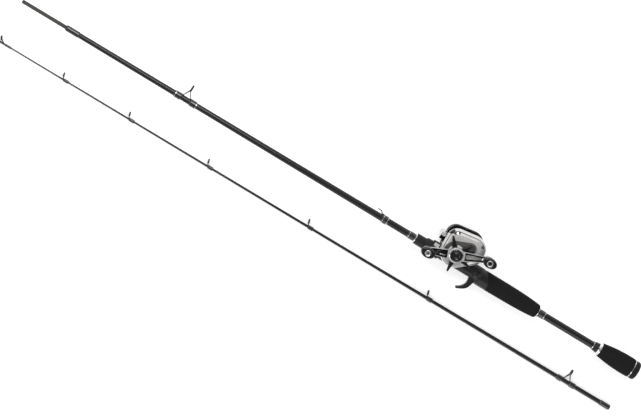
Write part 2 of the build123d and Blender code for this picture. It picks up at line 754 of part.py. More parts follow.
def rear_ring():
    """Dished metal ring in front of the rear grip."""
    middle = REAR_RING_X + REAR_RING_DISH
    return turned(
        [
            (REAR_RING_X, butt_radius(REAR_RING_X)),
            (REAR_RING_X, COLLAR_REAR_RADIUS),
            (middle, REAR_RING_RADIUS - REAR_RING_LIP),
            (REAR_GRIP_X, REAR_RING_RADIUS),
            (REAR_GRIP_X, butt_radius(REAR_GRIP_X)),
        ]
    )


def rear_grip():
    """Flared rear grip."""
    swell_x = REAR_GRIP_X + REAR_GRIP_SWELL
    crown = Spline(
        (REAR_GRIP_X, REAR_GRIP_FRONT_RADIUS),
        (swell_x, REAR_GRIP_RADIUS),
        (BUTT_RING_X, REAR_GRIP_BACK_RADIUS),
        tangents=[REAR_GRIP_FRONT_LEAN, REAR_GRIP_BACK_LEAN],
    )
    back = Polyline(
        (BUTT_RING_X, REAR_GRIP_BACK_RADIUS),
        (BUTT_RING_X, butt_radius(BUTT_RING_X)),
        (REAR_GRIP_X, butt_radius(REAR_GRIP_X)),
        (REAR_GRIP_X, REAR_GRIP_FRONT_RADIUS),
    )
    return revolve(make_face([crown] + back.edges()), Axis.X)


def butt_cap():
    """Rounded cap that closes the butt."""
    body = turned([(BUTT_CAP_X, 0), (BUTT_CAP_X, BUTT_CAP_RADIUS), (BUTT_X, BUTT_CAP_RADIUS), (BUTT_X, 0)])
    return fillet(body.edges().sort_by(Axis.X)[-1], BUTT_CAP_ROUND)


def seat_hood():
    """Sliding hood that holds the front of the reel foot."""
    shell = crowned_block(HOOD_RADIUS, HOOD_CROWN, HOOD_X, HOOD_END)
    shell = chamfer(shell.edges().group_by(Axis.X)[-1], HOOD_CHAMFER)
    bore = SEAT_RADIUS + SLIDE_CLEARANCE
    front, rear = HOOD_X - OVERRUN, HOOD_END + OVERRUN
    shell -= turned([(front, 0), (front, bore), (rear, bore), (rear, 0)])
    return shell - reel_foot(PART_GAP, 0)


def lock_nut():
    """Ribbed nut that runs on the seat's thread in front of the hood."""
    bore = SEAT_RADIUS + SLIDE_CLEARANCE
    end = NUT_X + NUT_LENGTH
    nut = turned(
        [
            (NUT_X, bore),
            (NUT_X, NUT_RADIUS - HOOD_CHAMFER),
            (NUT_X + HOOD_CHAMFER, NUT_RADIUS),
            (end, NUT_RADIUS),
            (end, bore),
        ]
    )
    groove = Pos(NUT_X - OVERRUN, NUT_RADIUS + NUT_GROOVE_RADIUS / 3, 0) * Rot(0, 90, 0)
    groove *= extrude(Circle(NUT_GROOVE_RADIUS), NUT_LENGTH)
    for index in range(NUT_GROOVES):
        nut -= Rot(360 / NUT_GROOVES * index, 0, 0) * groove
    return nut


def reel_outline(margin=0.0):
    """Side outline of the reel, drawn in by a margin."""
    return hull_of(
        [
            (DRIVE, OUTLINE_DRIVE_RADIUS - margin),
            (CROWN, OUTLINE_CROWN_RADIUS - margin),
            (FRONT, OUTLINE_FRONT_RADIUS - margin),
            (REAR, OUTLINE_REAR_RADIUS - margin),
        ]
    )


def domed_plate(margin=0.0):
    """Side plate with a rounded outer rim and a shadow line where it meets the frame."""
    plate = raised(reel_outline(margin), FRAME_OUT, PLATE_FACE)
    plate = fillet(plate.edges().group_by(Axis.Z)[-1], PLATE_ROUND)
    line_top = FRAME_OUT + TRIM_STEP
    rim = raised(reel_outline(margin - OVERRUN), FRAME_OUT - OVERRUN, line_top)
    inside = raised(reel_outline(margin + TRIM_STEP), FRAME_OUT - 2 * OVERRUN, line_top + OVERRUN)
    return plate - (rim - inside)


def tip_circle(teeth, module):
    """Radius over the teeth of a spur gear."""
    return module * (teeth / 2 + TOOTH_RISE)


def toothed(teeth, module, place, bottom, width, phase):
    """Spur gear with straight-sided teeth, one tooth standing at the phase angle."""
    pitch = 360 / teeth
    root, tip = module * (teeth / 2 - TOOTH_DEPTH), tip_circle(teeth, module)
    corners = []
    for index in range(teeth):
        centre = phase + index * pitch
        for radius, share in ((root, -ROOT_SHARE), (tip, -TIP_SHARE), (tip, TIP_SHARE), (root, ROOT_SHARE)):
            turn = math.radians(centre + share * pitch)
            corners.append((radius * math.cos(turn), radius * math.sin(turn)))
    face = make_face(Polyline(*corners, close=True))
    return Pos(place[0], place[1], bottom) * extrude(face, width)


def reel_frame():
    """One-piece frame: two side walls, the base, the rear bar and the foot."""
    walls = raised(reel_outline(TRIM_STEP), FRAME_HALF, FRAME_OUT)
    walls += raised(reel_outline(TRIM_STEP + PALM_MARGIN), -FRAME_OUT, -FRAME_HALF)
    base_low, base_high = SEAT_RADIUS + PART_GAP, GUIDE_LOW - PART_GAP
    base_front, base_rear = HOOD_END + SPOOL_ROOM, SPOOL[0] + SPOOL_RADIUS
    bridge = FRAME_HALF + WALL_BITE
    base = Pos((base_front + base_rear) / 2, (base_low + base_high) / 2, 0) * Box(
        base_rear - base_front, base_high - base_low, 2 * bridge
    )
    rear_bar = Pos(REAR[0] + REAR_BAR_OFFSET_X, REAR[1] - REAR_BAR_DROP, 0) * extrude(
        SlotOverall(REAR_BAR_LENGTH, REAR_BAR_HEIGHT), bridge, both=True
    )
    frame = walls + base + rear_bar + reel_foot(0, SEAT_RADIUS + SLIDE_CLEARANCE / 2)
    frame -= disc(SPOOL, SPOOL_RADIUS + SPOOL_ROOM, -FRAME_OUT - OVERRUN, FRAME_HALF)
    frame -= disc(SPOOL, BEARING_RADIUS, FRAME_HALF - OVERRUN, FRAME_OUT + OVERRUN)
    frame -= disc(DRIVE, DRIVE_SHAFT / 2 + RUNNING_CLEARANCE, FRAME_HALF - OVERRUN, FRAME_OUT + OVERRUN)
    frame -= disc(WORM, WORM_SHAFT / 2 + RUNNING_CLEARANCE, -FRAME_OUT - OVERRUN, FRAME_OUT + OVERRUN)
    frame -= disc(GUIDE_BAR_PLACE, GUIDE_BAR / 2, -FRAME_OUT - OVERRUN, FRAME_OUT + OVERRUN)
    for place in screw_places():
        frame -= disc(place, SCREW_SHANK, FRAME_OUT - SCREW_GRIP, FRAME_OUT + OVERRUN)
    return frame


def reel_foot(room, saddle):
    """Curved foot on the seat, narrow at both tips, or the room for it where room is given."""
    tip_half, mid_half = FOOT_TIP_HALF + room, FOOT_MID_HALF + room
    outline = hull_of(
        [
            ((FOOT_X + FOOT_TIP_HALF, 0), tip_half),
            (((FOOT_X + FOOT_END) / 2, 0), mid_half),
            ((FOOT_END - FOOT_TIP_HALF, 0), tip_half),
        ]
    )
    outer = FOOT_OUTER + room
    low, high = FOOT_X - OVERRUN, FOOT_END + OVERRUN
    foot = extrude(Plane.XZ * outline, -outer) & turned([(low, 0), (low, outer), (high, outer), (high, 0)])
    if saddle:
        front, rear = low - OVERRUN, high + OVERRUN
        foot -= turned([(front, 0), (front, saddle), (rear, saddle), (rear, 0)])
    return foot


def front_bar():
    """Rounded bar in front of the level wind, carried on two arms against the frame walls."""
    front_x, middle_y = FRONT[0] - NOSE_REACH, FRONT[1] - NOSE_DROP
    bar = Pos(front_x + NOSE_LENGTH / 2, middle_y, 0) * Box(NOSE_LENGTH, NOSE_HEIGHT, 2 * FRAME_HALF)
    bar = fillet(bar.edges().filter_by(Axis.Z), NOSE_ROUND)
    arm_x = front_x + NOSE_LENGTH - NOSE_ROUND
    arm_end = front_x + NOSE_LENGTH + NOSE_ARM_LENGTH
    arm = Box(arm_end - arm_x, NOSE_HEIGHT - 2 * NOSE_ROUND, NOSE_ARM_WIDTH)
    for side in (1, -1):
        bar += Pos((arm_x + arm_end) / 2, middle_y, side * (FRAME_HALF - NOSE_ARM_WIDTH / 2)) * arm
    return bar


def gear_side_plate():
    """Domed cover over the gears, with a raised oval boss under the star and the tension knob."""
    plate = domed_plate()
    panel = raised(reel_outline(PANEL_MARGIN), PLATE_FACE - OVERRUN, PLATE_FACE + PANEL_HEIGHT)
    plate += chamfer(panel.edges().group_by(Axis.Z)[-1], PANEL_HEIGHT / 2)
    boss_face = hull_of([(DRIVE, BOSS_DRIVE_RADIUS), (SPOOL, BOSS_SPOOL_RADIUS)])
    boss = raised(boss_face, PLATE_FACE - BOSS_ROOT, BOSS_FACE)
    plate += chamfer(boss.edges().group_by(Axis.Z)[-1], BOSS_HEIGHT / 2)
    plate -= raised(reel_outline(PLATE_INSET), FRAME_OUT - OVERRUN, PLATE_FACE - PLATE_SKIN)
    for place in screw_places():
        plate += disc(place, SCREW_POST, FRAME_OUT, SCREW_TOP)
    gear_room = tip_circle(GEAR_TEETH, GEAR_MODULE) + GEAR_ROOM
    plate -= disc(DRIVE, gear_room, FRAME_OUT - OVERRUN, GEAR_TOP + GEAR_ROOM)
    worm_room = tip_circle(WORM_TEETH, LEVEL_MODULE) + GEAR_ROOM
    plate -= disc(WORM, worm_room, FRAME_OUT - OVERRUN, GEAR_Z + GEAR_ROOM)
    plate += disc(DRIVE, CLUTCH_RADIUS + BEARING_SEAT_WALL, CLUTCH_Z - PART_GAP, PLATE_FACE - OVERRUN)
    plate -= disc(DRIVE, CLUTCH_RADIUS, CLUTCH_Z - OVERRUN, BOSS_FACE + OVERRUN)
    plate += disc(SPOOL, BEARING_RADIUS + BEARING_SEAT_WALL, GEAR_BEARING_Z - PART_GAP, PLATE_FACE - OVERRUN)
    plate -= disc(SPOOL, BEARING_RADIUS, GEAR_BEARING_Z - OVERRUN, GEAR_BEARING_Z + BEARING_WIDTH)
    plate -= disc(OIL_PORT, OIL_PORT_RADIUS, PLATE_FACE - OIL_PORT_DEPTH, PLATE_FACE + OVERRUN)
    for place in screw_places():
        plate -= disc(place, SCREW_RADIUS + SCREW_ROOM, SCREW_TOP - SCREW_HEAD, PLATE_FACE + OVERRUN)
        plate -= disc(place, SCREW_SHANK, FRAME_OUT - OVERRUN, PLATE_FACE)
    return plate


def star_collar():
    """Bright ring that stands on the boss round the star's hub."""
    collar = ring(DRIVE, COLLAR_RADIUS, COLLAR_BORE, BOSS_FACE, BOSS_FACE + COLLAR_HEIGHT)
    return chamfer(collar.edges().group_by(Axis.Z)[-1], COLLAR_CHAMFER)


def palm_side_plate():
    """Flat-faced domed cover on the far side, with the spool bearing's seat and the dial's recess."""
    plate = domed_plate(PALM_MARGIN)
    dial_floor = PLATE_FACE - DIAL_THICKNESS - DIAL_RECESS
    plate -= raised(reel_outline(PALM_MARGIN + PLATE_INSET), FRAME_OUT - OVERRUN, dial_floor - PLATE_SKIN)
    plate += disc(SPOOL, BEARING_RADIUS + BEARING_SEAT_WALL, PALM_BEARING_Z - PART_GAP, dial_floor - OVERRUN)
    plate -= disc(SPOOL, BEARING_RADIUS, FRAME_OUT, PALM_BEARING_Z + BEARING_WIDTH)
    plate -= disc(SPOOL, SPOOL_SHAFT, FRAME_OUT, SHAFT_END + PART_GAP)
    plate -= disc(SPOOL, DIAL_RADIUS + RUNNING_CLEARANCE, dial_floor, PLATE_FACE + OVERRUN)
    return mirror(plate, Plane.XY)


def spool_assembly():
    """Spool, its shaft and the pinion that drives it."""
    inside = SPOOL_ARBOR - SPOOL_WALL
    shaft_r = SPOOL_SHAFT / 2
    hub_low, hub_high = -SPOOL_HALF / 2, SPOOL_HALF - SPOOL_WALL
    web_low, web_high = -SPOOL_WALL / 2, SPOOL_WALL / 2
    profile = [
        (shaft_r, hub_high),
        (shaft_r, hub_low),
        (SPOOL_HUB, hub_low),
        (SPOOL_HUB, web_low),
        (inside, web_low),
        (inside, -SPOOL_HALF),
        (SPOOL_RADIUS, -SPOOL_HALF),
        (SPOOL_RADIUS, -SPOOL_HALF + SPOOL_RIM),
        (SPOOL_ARBOR, -SPOOL_HALF + 2 * SPOOL_RIM),
        (SPOOL_ARBOR, SPOOL_HALF - 2 * SPOOL_RIM),
        (SPOOL_RADIUS, SPOOL_HALF - SPOOL_RIM),
        (SPOOL_RADIUS, SPOOL_HALF),
        (inside, SPOOL_HALF),
        (inside, web_high),
        (SPOOL_HUB, web_high),
        (SPOOL_HUB, hub_high),
    ]
    pinion_low = GEAR_Z - PART_GAP
    pinion_phase = SPOOL_ANGLE + 180 + 180 / PINION_TEETH
    pinion = toothed(PINION_TEETH, GEAR_MODULE, SPOOL, pinion_low, GEAR_WIDTH + 2 * PART_GAP, pinion_phase)
    pinion += disc(SPOOL, SPOOL_HUB, hub_high, pinion_low)
    return {
        "spool": turned_upright(profile, SPOOL),
        "spool_shaft": disc(SPOOL, shaft_r, -SHAFT_END, GEAR_BEARING_Z + BEARING_WIDTH - PART_GAP),
        "pinion_gear": pinion - disc(SPOOL, shaft_r, hub_high - OVERRUN, PLATE_FACE),
    }


def level_wind():
    """Worm shaft with its gear, the guide bar, and the sliding line guide."""
    shaft_r, bar_r = WORM_SHAFT / 2, GUIDE_BAR / 2
    worm_low, worm_high = -FRAME_OUT + PART_GAP, LEVEL_GEAR_Z + LEVEL_GEAR_WIDTH
    phase = WORM_ANGLE + 180 + 180 / WORM_TEETH
    gear = toothed(WORM_TEETH, LEVEL_MODULE, WORM, LEVEL_GEAR_Z, LEVEL_GEAR_WIDTH, phase)
    half = LINE_GUIDE_WIDTH / 2
    shell_r = shaft_r + LINE_GUIDE_WALL
    side = hull_of([(WORM, shell_r), (LINE_EYE, LINE_EYE_RADIUS + LINE_GUIDE_WALL / 2)])
    block = raised(side, -half, half)
    block -= disc(WORM, shaft_r + RUNNING_CLEARANCE, -half - OVERRUN, half + OVERRUN)
    block -= disc(GUIDE_BAR_PLACE, bar_r + RUNNING_CLEARANCE, -half - OVERRUN, half + OVERRUN)
    eye_axis = Pos(LINE_EYE[0], LINE_EYE[1], 0) * Rot(0, 90, 0)
    block -= eye_axis * Cylinder(LINE_EYE_RADIUS, 4 * shell_r)
    eye = eye_axis * (Cylinder(LINE_EYE_RADIUS, 2 * shell_r) - Cylinder(LINE_EYE_BORE, 3 * shell_r))
    below = Pos(WORM[0], WORM[1] - shell_r, 0) * Rot(90, 0, 0)
    pawl = below * extrude(Circle(PAWL_RADIUS), PAWL_HEIGHT)
    return {
        "worm_shaft": disc(WORM, shaft_r, worm_low, worm_high),
        "worm_gear": gear - disc(WORM, shaft_r, worm_low, worm_high + OVERRUN),
        "level_wind_bar": disc(GUIDE_BAR_PLACE, bar_r, worm_low, -worm_low),
        "line_guide": block,
        "line_guide_eye": eye,
        "pawl_cap": pawl,
    }


def drive_train():
    """Handle shaft with the drive gear, drag washers and roller clutch sleeve."""
    shaft_r = DRIVE_SHAFT / 2
    stack = WASHER_COUNT * WASHER_THICKNESS
    gear = toothed(GEAR_TEETH, GEAR_MODULE, DRIVE, GEAR_Z, GEAR_WIDTH, SPOOL_ANGLE)
    gear -= disc(DRIVE, WASHER_RADIUS + PART_GAP, GEAR_TOP - stack, GEAR_TOP + OVERRUN)
    gear += toothed(LEVEL_TEETH, LEVEL_MODULE, DRIVE, LEVEL_GEAR_Z, LEVEL_GEAR_WIDTH, WORM_ANGLE)
    gear += disc(DRIVE, DRIVE_SHAFT, LEVEL_GEAR_Z, GEAR_Z)
    gear -= disc(DRIVE, shaft_r, FRAME_OUT, GEAR_TOP + OVERRUN)
    washers = []
    for index in range(WASHER_COUNT):
        low = GEAR_TOP - stack + WASHER_THICKNESS * index
        washers.append(ring(DRIVE, WASHER_RADIUS, shaft_r, low, low + WASHER_THICKNESS))
    return {
        "drive_shaft": disc(DRIVE, shaft_r, FRAME_HALF + PART_GAP, HANDLE_TOP + HUB_NUT_HEIGHT),
        "drive_gear": gear,
        "drag_washers": group(washers),
        "roller_clutch": ring(DRIVE, CLUTCH_RADIUS, shaft_r + RUNNING_CLEARANCE, CLUTCH_Z, BOSS_FACE),
    }


def drag_star():
    """Five-armed drag star."""
    star = disc(DRIVE, STAR_HUB, BOSS_FACE + PART_GAP, STAR_TOP)
    tip = (STAR_REACH - STAR_ARM_TIP, 0)
    arm = extrude(hull_of([((STAR_HUB / 2, 0), STAR_ARM_ROOT), (tip, STAR_ARM_TIP)]), STAR_THICKNESS)
    arm = fillet(arm.edges().group_by(Axis.Z)[-1], STAR_THICKNESS / 3)
    for index in range(STAR_ARMS):
        star += Pos(DRIVE[0], DRIVE[1], STAR_Z) * Rot(0, 0, STAR_ANGLE + 360 / STAR_ARMS * index) * arm
    return star - disc(DRIVE, DRIVE_SHAFT / 2 + RUNNING_CLEARANCE, FRAME_OUT, HANDLE_TOP)


def handle_arm():
    """Swept double handle with a tapered slot in each arm."""
    face = Sketch() + Circle(HANDLE_HUB)
    crest = []
    for side, reach in ((-1, HANDLE_FRONT_REACH), (1, HANDLE_REAR_REACH)):
        root, tip = (side * HANDLE_HUB / 3, 0), (side * reach, 0)
        face += hull_of([(root, HANDLE_ROOT), (tip, HANDLE_TIP)])
        end, bend = reach + HANDLE_TIP + OVERRUN, reach - 2 * HANDLE_TIP
        run = [(end, -HANDLE_SWEEP), (bend, -HANDLE_SWEEP), (HANDLE_HUB, 0)]
        crest += [(side * x, z) for x, z in run[::-side]]
    for side, reach in ((-1, HANDLE_FRONT_REACH), (1, HANDLE_REAR_REACH)):
        slot_start, slot_end = (side * HANDLE_SLOT_START, 0), (side * (reach - HANDLE_SLOT_FROM_KNOB), 0)
        face -= hull_of([(slot_start, HANDLE_SLOT_ROOT), (slot_end, HANDLE_SLOT_TIP)])
    top = [(x, z + HANDLE_THICKNESS) for x, z in reversed(crest)]
    strip = extrude(Plane.XZ * make_face(Polyline(*crest, *top, close=True)), 2 * HANDLE_HUB, both=True)
    arm = raised(face, -HANDLE_SWEEP - OVERRUN, HANDLE_THICKNESS + OVERRUN) & strip
    arm -= disc((0, 0), DRIVE_SHAFT / 2, -OVERRUN, HANDLE_THICKNESS + OVERRUN)
    for post_x in (-HANDLE_FRONT_REACH, HANDLE_REAR_REACH):
        arm -= disc((post_x, 0), POST_DIAMETER / 2, -HANDLE_SWEEP - OVERRUN, HANDLE_THICKNESS)
    return Pos(DRIVE[0], DRIVE[1], HANDLE_Z) * Rot(0, 0, HANDLE_ANGLE) * arm


def knob_centre(along):
    """Axis of a handle knob that stands some way along the handle from its hub."""
    turn = math.radians(HANDLE_ANGLE)
    return (DRIVE[0] + along * math.cos(turn), DRIVE[1] + along * math.sin(turn))


def knob(place):
    """Oval paddle knob that turns on its post."""
    sections = []
    for rise, share in KNOB_SECTIONS:
        oval = Ellipse(KNOB_LENGTH / 2 * share, KNOB_WIDTH / 2 * share)
        sections.append(Pos(0, 0, KNOB_HEIGHT * rise) * oval)
    body = loft(sections)
    body = fillet(body.edges().group_by(Axis.Z)[-1], KNOB_ROUND)
    body -= disc((0, 0), KNOB_CAP_RADIUS, KNOB_HEIGHT - KNOB_CAP_DEPTH, KNOB_HEIGHT + OVERRUN)
    body -= disc((0, 0), POST_DIAMETER / 2 + RUNNING_CLEARANCE, -OVERRUN, KNOB_HEIGHT + OVERRUN)
    return Pos(place[0], place[1], KNOB_Z) * body


def handle_fittings():
    """Hub nut and cap, the knob posts, knobs and knob caps."""
    cap_z = KNOB_TOP - KNOB_CAP_DEPTH
    nut = Pos(DRIVE[0], DRIVE[1], HANDLE_TOP) * extrude(RegularPolygon(NUT_ACROSS / 2, 6), HUB_NUT_HEIGHT)
    cap = disc(DRIVE, HUB_CAP_RADIUS, HANDLE_TOP, HANDLE_TOP + HUB_CAP_HEIGHT)
    cap = fillet(cap.edges().group_by(Axis.Z)[-1], HUB_CAP_ROUND)
    nut_top = HANDLE_TOP + HUB_NUT_HEIGHT
    cap -= disc(DRIVE, NUT_ACROSS / 2 + PART_GAP, HANDLE_TOP - OVERRUN, nut_top + PART_GAP)
    posts = []
    parts = {}
    for name, along in (("front", -HANDLE_FRONT_REACH), ("rear", HANDLE_REAR_REACH)):
        place = knob_centre(along)
        posts.append(disc(place, POST_DIAMETER / 2, HANDLE_Z - HANDLE_SWEEP, cap_z - PART_GAP))
        button = disc(place, KNOB_CAP_RADIUS, cap_z, cap_z + KNOB_CAP_THICKNESS)
        parts[name + "_knob"] = knob(place)
        parts[name + "_knob_cap"] = fillet(button.edges().group_by(Axis.Z)[-1], KNOB_CAP_ROUND)
    parts["handle_nut"] = nut - disc(DRIVE, DRIVE_SHAFT / 2, HANDLE_Z, HANDLE_TOP + HUB_CAP_HEIGHT)
    parts["handle_cap"] = cap
    parts["knob_posts"] = group(posts)
    return parts


def controls():
    """Spool tension knob, brake dial and thumb bar."""
    tension_top = TENSION_Z + TENSION_HEIGHT
    tension = disc(SPOOL, TENSION_RADIUS, TENSION_Z, tension_top)
    tension = chamfer(tension.edges().group_by(Axis.Z)[-1], TENSION_CHAMFER)
    for index in range(TENSION_NOTCHES):
        turn = math.radians(360 / TENSION_NOTCHES * index)
        notch = (SPOOL[0] + TENSION_RADIUS * math.cos(turn), SPOOL[1] + TENSION_RADIUS * math.sin(turn))
        tension -= disc(notch, TENSION_NOTCH_RADIUS, TENSION_Z - OVERRUN, tension_top + OVERRUN)
    dial_low = -PLATE_FACE + DIAL_RECESS
    dial = disc(SPOOL, DIAL_RADIUS, dial_low, dial_low + DIAL_THICKNESS - RUNNING_CLEARANCE)
    coin_slot = Pos(SPOOL[0], SPOOL[1], dial_low) * Box(DIAL_SLOT_LENGTH, DIAL_SLOT_WIDTH, DIAL_THICKNESS)
    bar_x = SPOOL[0] + SPOOL_RADIUS + SPOOL_ROOM + THUMB_BAR_LENGTH / 2
    bar_width = 2 * (FRAME_HALF - PART_GAP)
    bar = Pos(bar_x, REAR[1] + THUMB_BAR_RISE, 0) * Box(THUMB_BAR_LENGTH, THUMB_BAR_HEIGHT, bar_width)
    upper = bar.edges().filter_by(Axis.Z).sort_by(Axis.Y)[-2:]
    return {
        "tension_knob": tension,
        "brake_dial": dial - coin_slot,
        "thumb_bar": fillet(upper, THUMB_BAR_HEIGHT / 3),
    }


def bearings_and_screws():
    """Spool bearings and the screws that hold the gear side plate."""
    bore = SPOOL_SHAFT / 2 + RUNNING_CLEARANCE
    palm_top = -PALM_BEARING_Z
    bearings = [
        ring(SPOOL, BEARING_RADIUS, bore, palm_top - BEARING_WIDTH, palm_top),
        ring(SPOOL, BEARING_RADIUS, bore, GEAR_BEARING_Z, GEAR_BEARING_Z + BEARING_WIDTH),
    ]
    screws = []
    for place in screw_places():
        shank = disc(place, SCREW_SHANK, FRAME_OUT - SCREW_GRIP, SCREW_TOP - SCREW_HEAD)
        screws.append(shank + disc(place, SCREW_RADIUS, SCREW_TOP - SCREW_HEAD, SCREW_TOP))
    return {"spool_bearings": group(bearings), "plate_screws": group(screws)}


def tip_section():
    """Tip blank with its guides, wraps and tip-top, laid beside the butt section."""
    bore = SPIGOT_RADIUS + SOCKET_CLEARANCE
    blank = turned(
        [
            (TIP_START, 0),
            (TIP_START, tip_radius(TIP_START)),
            (TIP_KNEE_X, tip_radius(TIP_KNEE_X)),
            (BUTT_X, tip_radius(BUTT_X)),
            (BUTT_X, bore),
            (SOCKET_X, bore),
            (SOCKET_X, 0),
        ]
    )
    single_frames, inserts, wraps = [], [], []
    last = len(SINGLE_GUIDES_X) - 1
    for index, x in enumerate(SINGLE_GUIDES_X):
        share = index / last
        ring_size = SINGLE_RING_FIRST + (SINGLE_RING_LAST - SINGLE_RING_FIRST) * share
        height = SINGLE_HEIGHT_FIRST + (SINGLE_HEIGHT_LAST - SINGLE_HEIGHT_FIRST) * share
        frame, insert, binding = single_foot_guide(tip_radius, x, ring_size, height, SINGLE_FOOT)
        single_frames.append(frame)
        inserts.append(insert)
        wraps.append(binding)
    double_frame, insert, bindings = double_foot_guide(
        tip_radius, DOUBLE_GUIDE_X, DOUBLE_RING, DOUBLE_HEIGHT, DOUBLE_SPREAD, DOUBLE_FOOT
    )
    inserts.append(insert)
    wraps.extend(bindings)
    top, top_insert = tip_top()
    inserts.append(top_insert)
    tube_end = TIP_FRONT_X + TIP_TUBE_LENGTH
    wraps.append(wrap(tip_radius, tube_end, tube_end + TIP_WRAP_LENGTH, WRAP_THICKNESS))
    parts = {
        "tip_blank": blank,
        "tip_ferrule_wrap": wrap(tip_radius, BUTT_X - TIP_FERRULE_WRAP, BUTT_X, WRAP_THICKNESS),
        "tip_single_guide_frames": group(single_frames),
        "tip_double_guide_frame": double_frame,
        "tip_guide_inserts": group(inserts),
        "tip_guide_wraps": group(wraps),
        "tip_top": top,
    }
    return {name: Pos(0, TIP_Y, TIP_Z) * part for name, part in parts.items()}


def tip_top():
    """End ring of the rod: a tube on the tip with a ring on two legs."""
    tube_end = TIP_FRONT_X + TIP_TUBE_LENGTH
    outer = tip_radius(tube_end) + TIP_TUBE_WALL
    tube = turned([(TIP_FRONT_X, 0), (TIP_FRONT_X, outer), (tube_end, outer), (tube_end, 0)])
    place = (TIP_FRONT_X + TIP_RING_SETBACK, TIP_RING_HEIGHT)
    top = tube + guide_hoop(place, TIP_RING, TIP_RING_LEAN)
    leg_start = (tube_end - GUIDE_WIRE, outer - GUIDE_WIRE / 2, 0)
    for leg in leg_pair(place, TIP_RING, TIP_RING_LEAN, SINGLE_LEG_ANGLE, leg_start):
        top += leg
    top -= eye_room(place, TIP_RING, TIP_RING_LEAN)
    top -= blank_core(tip_radius, TIP_START, tube_end + OVERRUN)
    return top, guide_insert(place, TIP_RING, TIP_RING_LEAN)


def screw_places():
    """Where the screws stand in the rim of the gear side plate."""
    corners = (
        (FRONT, OUTLINE_FRONT_RADIUS, SCREW_FRONT_ANGLE),
        (CROWN, OUTLINE_CROWN_RADIUS, SCREW_REAR_ANGLE),
    )
    places = []
    for centre, radius, angle in corners:
        reach, turn = radius - SCREW_FROM_RIM, math.radians(angle)
        places.append((centre[0] + reach * math.cos(turn), centre[1] + reach * math.sin(turn)))
    return places


def all_parts():
    """Every node of the rod and reel by name."""
    parts = {}
    parts.update(butt_section())
    parts.update(grips_and_fittings())
    parts["seat_hood"] = seat_hood()
    parts["lock_nut"] = lock_nut()
    parts["reel_frame"] = reel_frame()
    parts["front_bar"] = front_bar()
    parts["gear_side_plate"] = gear_side_plate()
    parts["star_collar"] = star_collar()
    parts["palm_side_plate"] = palm_side_plate()
    parts.update(spool_assembly())
    parts.update(level_wind())
    parts.update(drive_train())
    parts["drag_star"] = drag_star()
    parts["handle_arm"] = handle_arm()
    parts.update(handle_fittings())
    parts.update(controls())
    parts.update(bearings_and_screws())
    parts.update(tip_section())
    return parts


def main():
    """Build every part and write one STEP file for each."""
    os.makedirs("parts", exist_ok=True)
    for name, part in all_parts().items():
        export_step(part, os.path.join("parts", name + ".step"))


if __name__ == "__main__":
    main()
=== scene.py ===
"""Looks of a two-piece casting rod with a low-profile casting reel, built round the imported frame."""

import logging
import math
from dataclasses import dataclass, field
from enum import Enum
from typing import Callable, Sequence

import bmesh
import bpy
from mathutils import Matrix, Vector


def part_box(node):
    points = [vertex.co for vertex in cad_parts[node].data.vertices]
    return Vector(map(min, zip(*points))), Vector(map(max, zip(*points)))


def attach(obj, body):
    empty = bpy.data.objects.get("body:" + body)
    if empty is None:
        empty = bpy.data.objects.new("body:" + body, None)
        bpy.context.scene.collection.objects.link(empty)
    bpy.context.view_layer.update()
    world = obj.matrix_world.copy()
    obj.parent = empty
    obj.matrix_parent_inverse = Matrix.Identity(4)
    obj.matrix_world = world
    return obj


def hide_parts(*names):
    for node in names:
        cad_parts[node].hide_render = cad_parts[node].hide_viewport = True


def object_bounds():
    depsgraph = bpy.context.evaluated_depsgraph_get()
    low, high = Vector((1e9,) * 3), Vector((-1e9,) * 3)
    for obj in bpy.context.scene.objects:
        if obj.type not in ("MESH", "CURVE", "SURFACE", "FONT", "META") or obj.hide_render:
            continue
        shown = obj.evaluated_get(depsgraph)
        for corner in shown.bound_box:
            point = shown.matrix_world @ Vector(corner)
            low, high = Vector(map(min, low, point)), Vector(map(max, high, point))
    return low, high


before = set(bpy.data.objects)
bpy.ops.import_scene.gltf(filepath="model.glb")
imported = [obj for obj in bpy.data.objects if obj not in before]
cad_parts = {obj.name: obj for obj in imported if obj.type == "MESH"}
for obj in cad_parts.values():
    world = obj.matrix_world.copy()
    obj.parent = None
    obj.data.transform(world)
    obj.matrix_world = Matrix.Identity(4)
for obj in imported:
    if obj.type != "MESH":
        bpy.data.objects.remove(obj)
CAD_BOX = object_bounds()

LOG = logging.getLogger("rod_and_reel")
MM = 0.001
SHARP_ANGLE = math.radians(35.0)

WELD = 0.001 * MM
PIECE_WELD = 0.002 * MM
NOISE_DETAIL = 3.0
MIX_SHARE, MIX_LOW, MIX_HIGH, MIX_RESULT = 0, 6, 7, 2

Colour = tuple[float, float, float]
Point = tuple[float, float, float]
Outline = Sequence[tuple[float, float]]
Socket = bpy.types.NodeSocket
Tree = bpy.types.NodeTree
Mesh = bmesh.types.BMesh
Paint = tuple[Socket, Colour]


class Body(Enum):
    """Bodies of the frame that new pieces ride on."""

    BUTT = "butt_section"
    HANDLE = "handle"
    FRONT_KNOB = "front_handle_knob"
    REAR_KNOB = "rear_handle_knob"


class Slot(Enum):
    """Material slots of the record."""

    FOAM = "grip_foam"
    TRIM = "trim_metal"
    ALLOY = "bright_alloy"
    BLACK = "reel_black"
    PLASTIC = "seat_plastic"
    GUIDE = "guide_steel"


class Axis(Enum):
    """Rod axes that turned patterns and pieces are centred on, as (Y, Z) in metres."""

    BUTT = (0.0, 0.0)
    TIP = (-70.1 * MM, -24.4 * MM)


class End(Enum):
    """Ends of a thread wrap."""

    FRONT = "front"
    REAR = "rear"


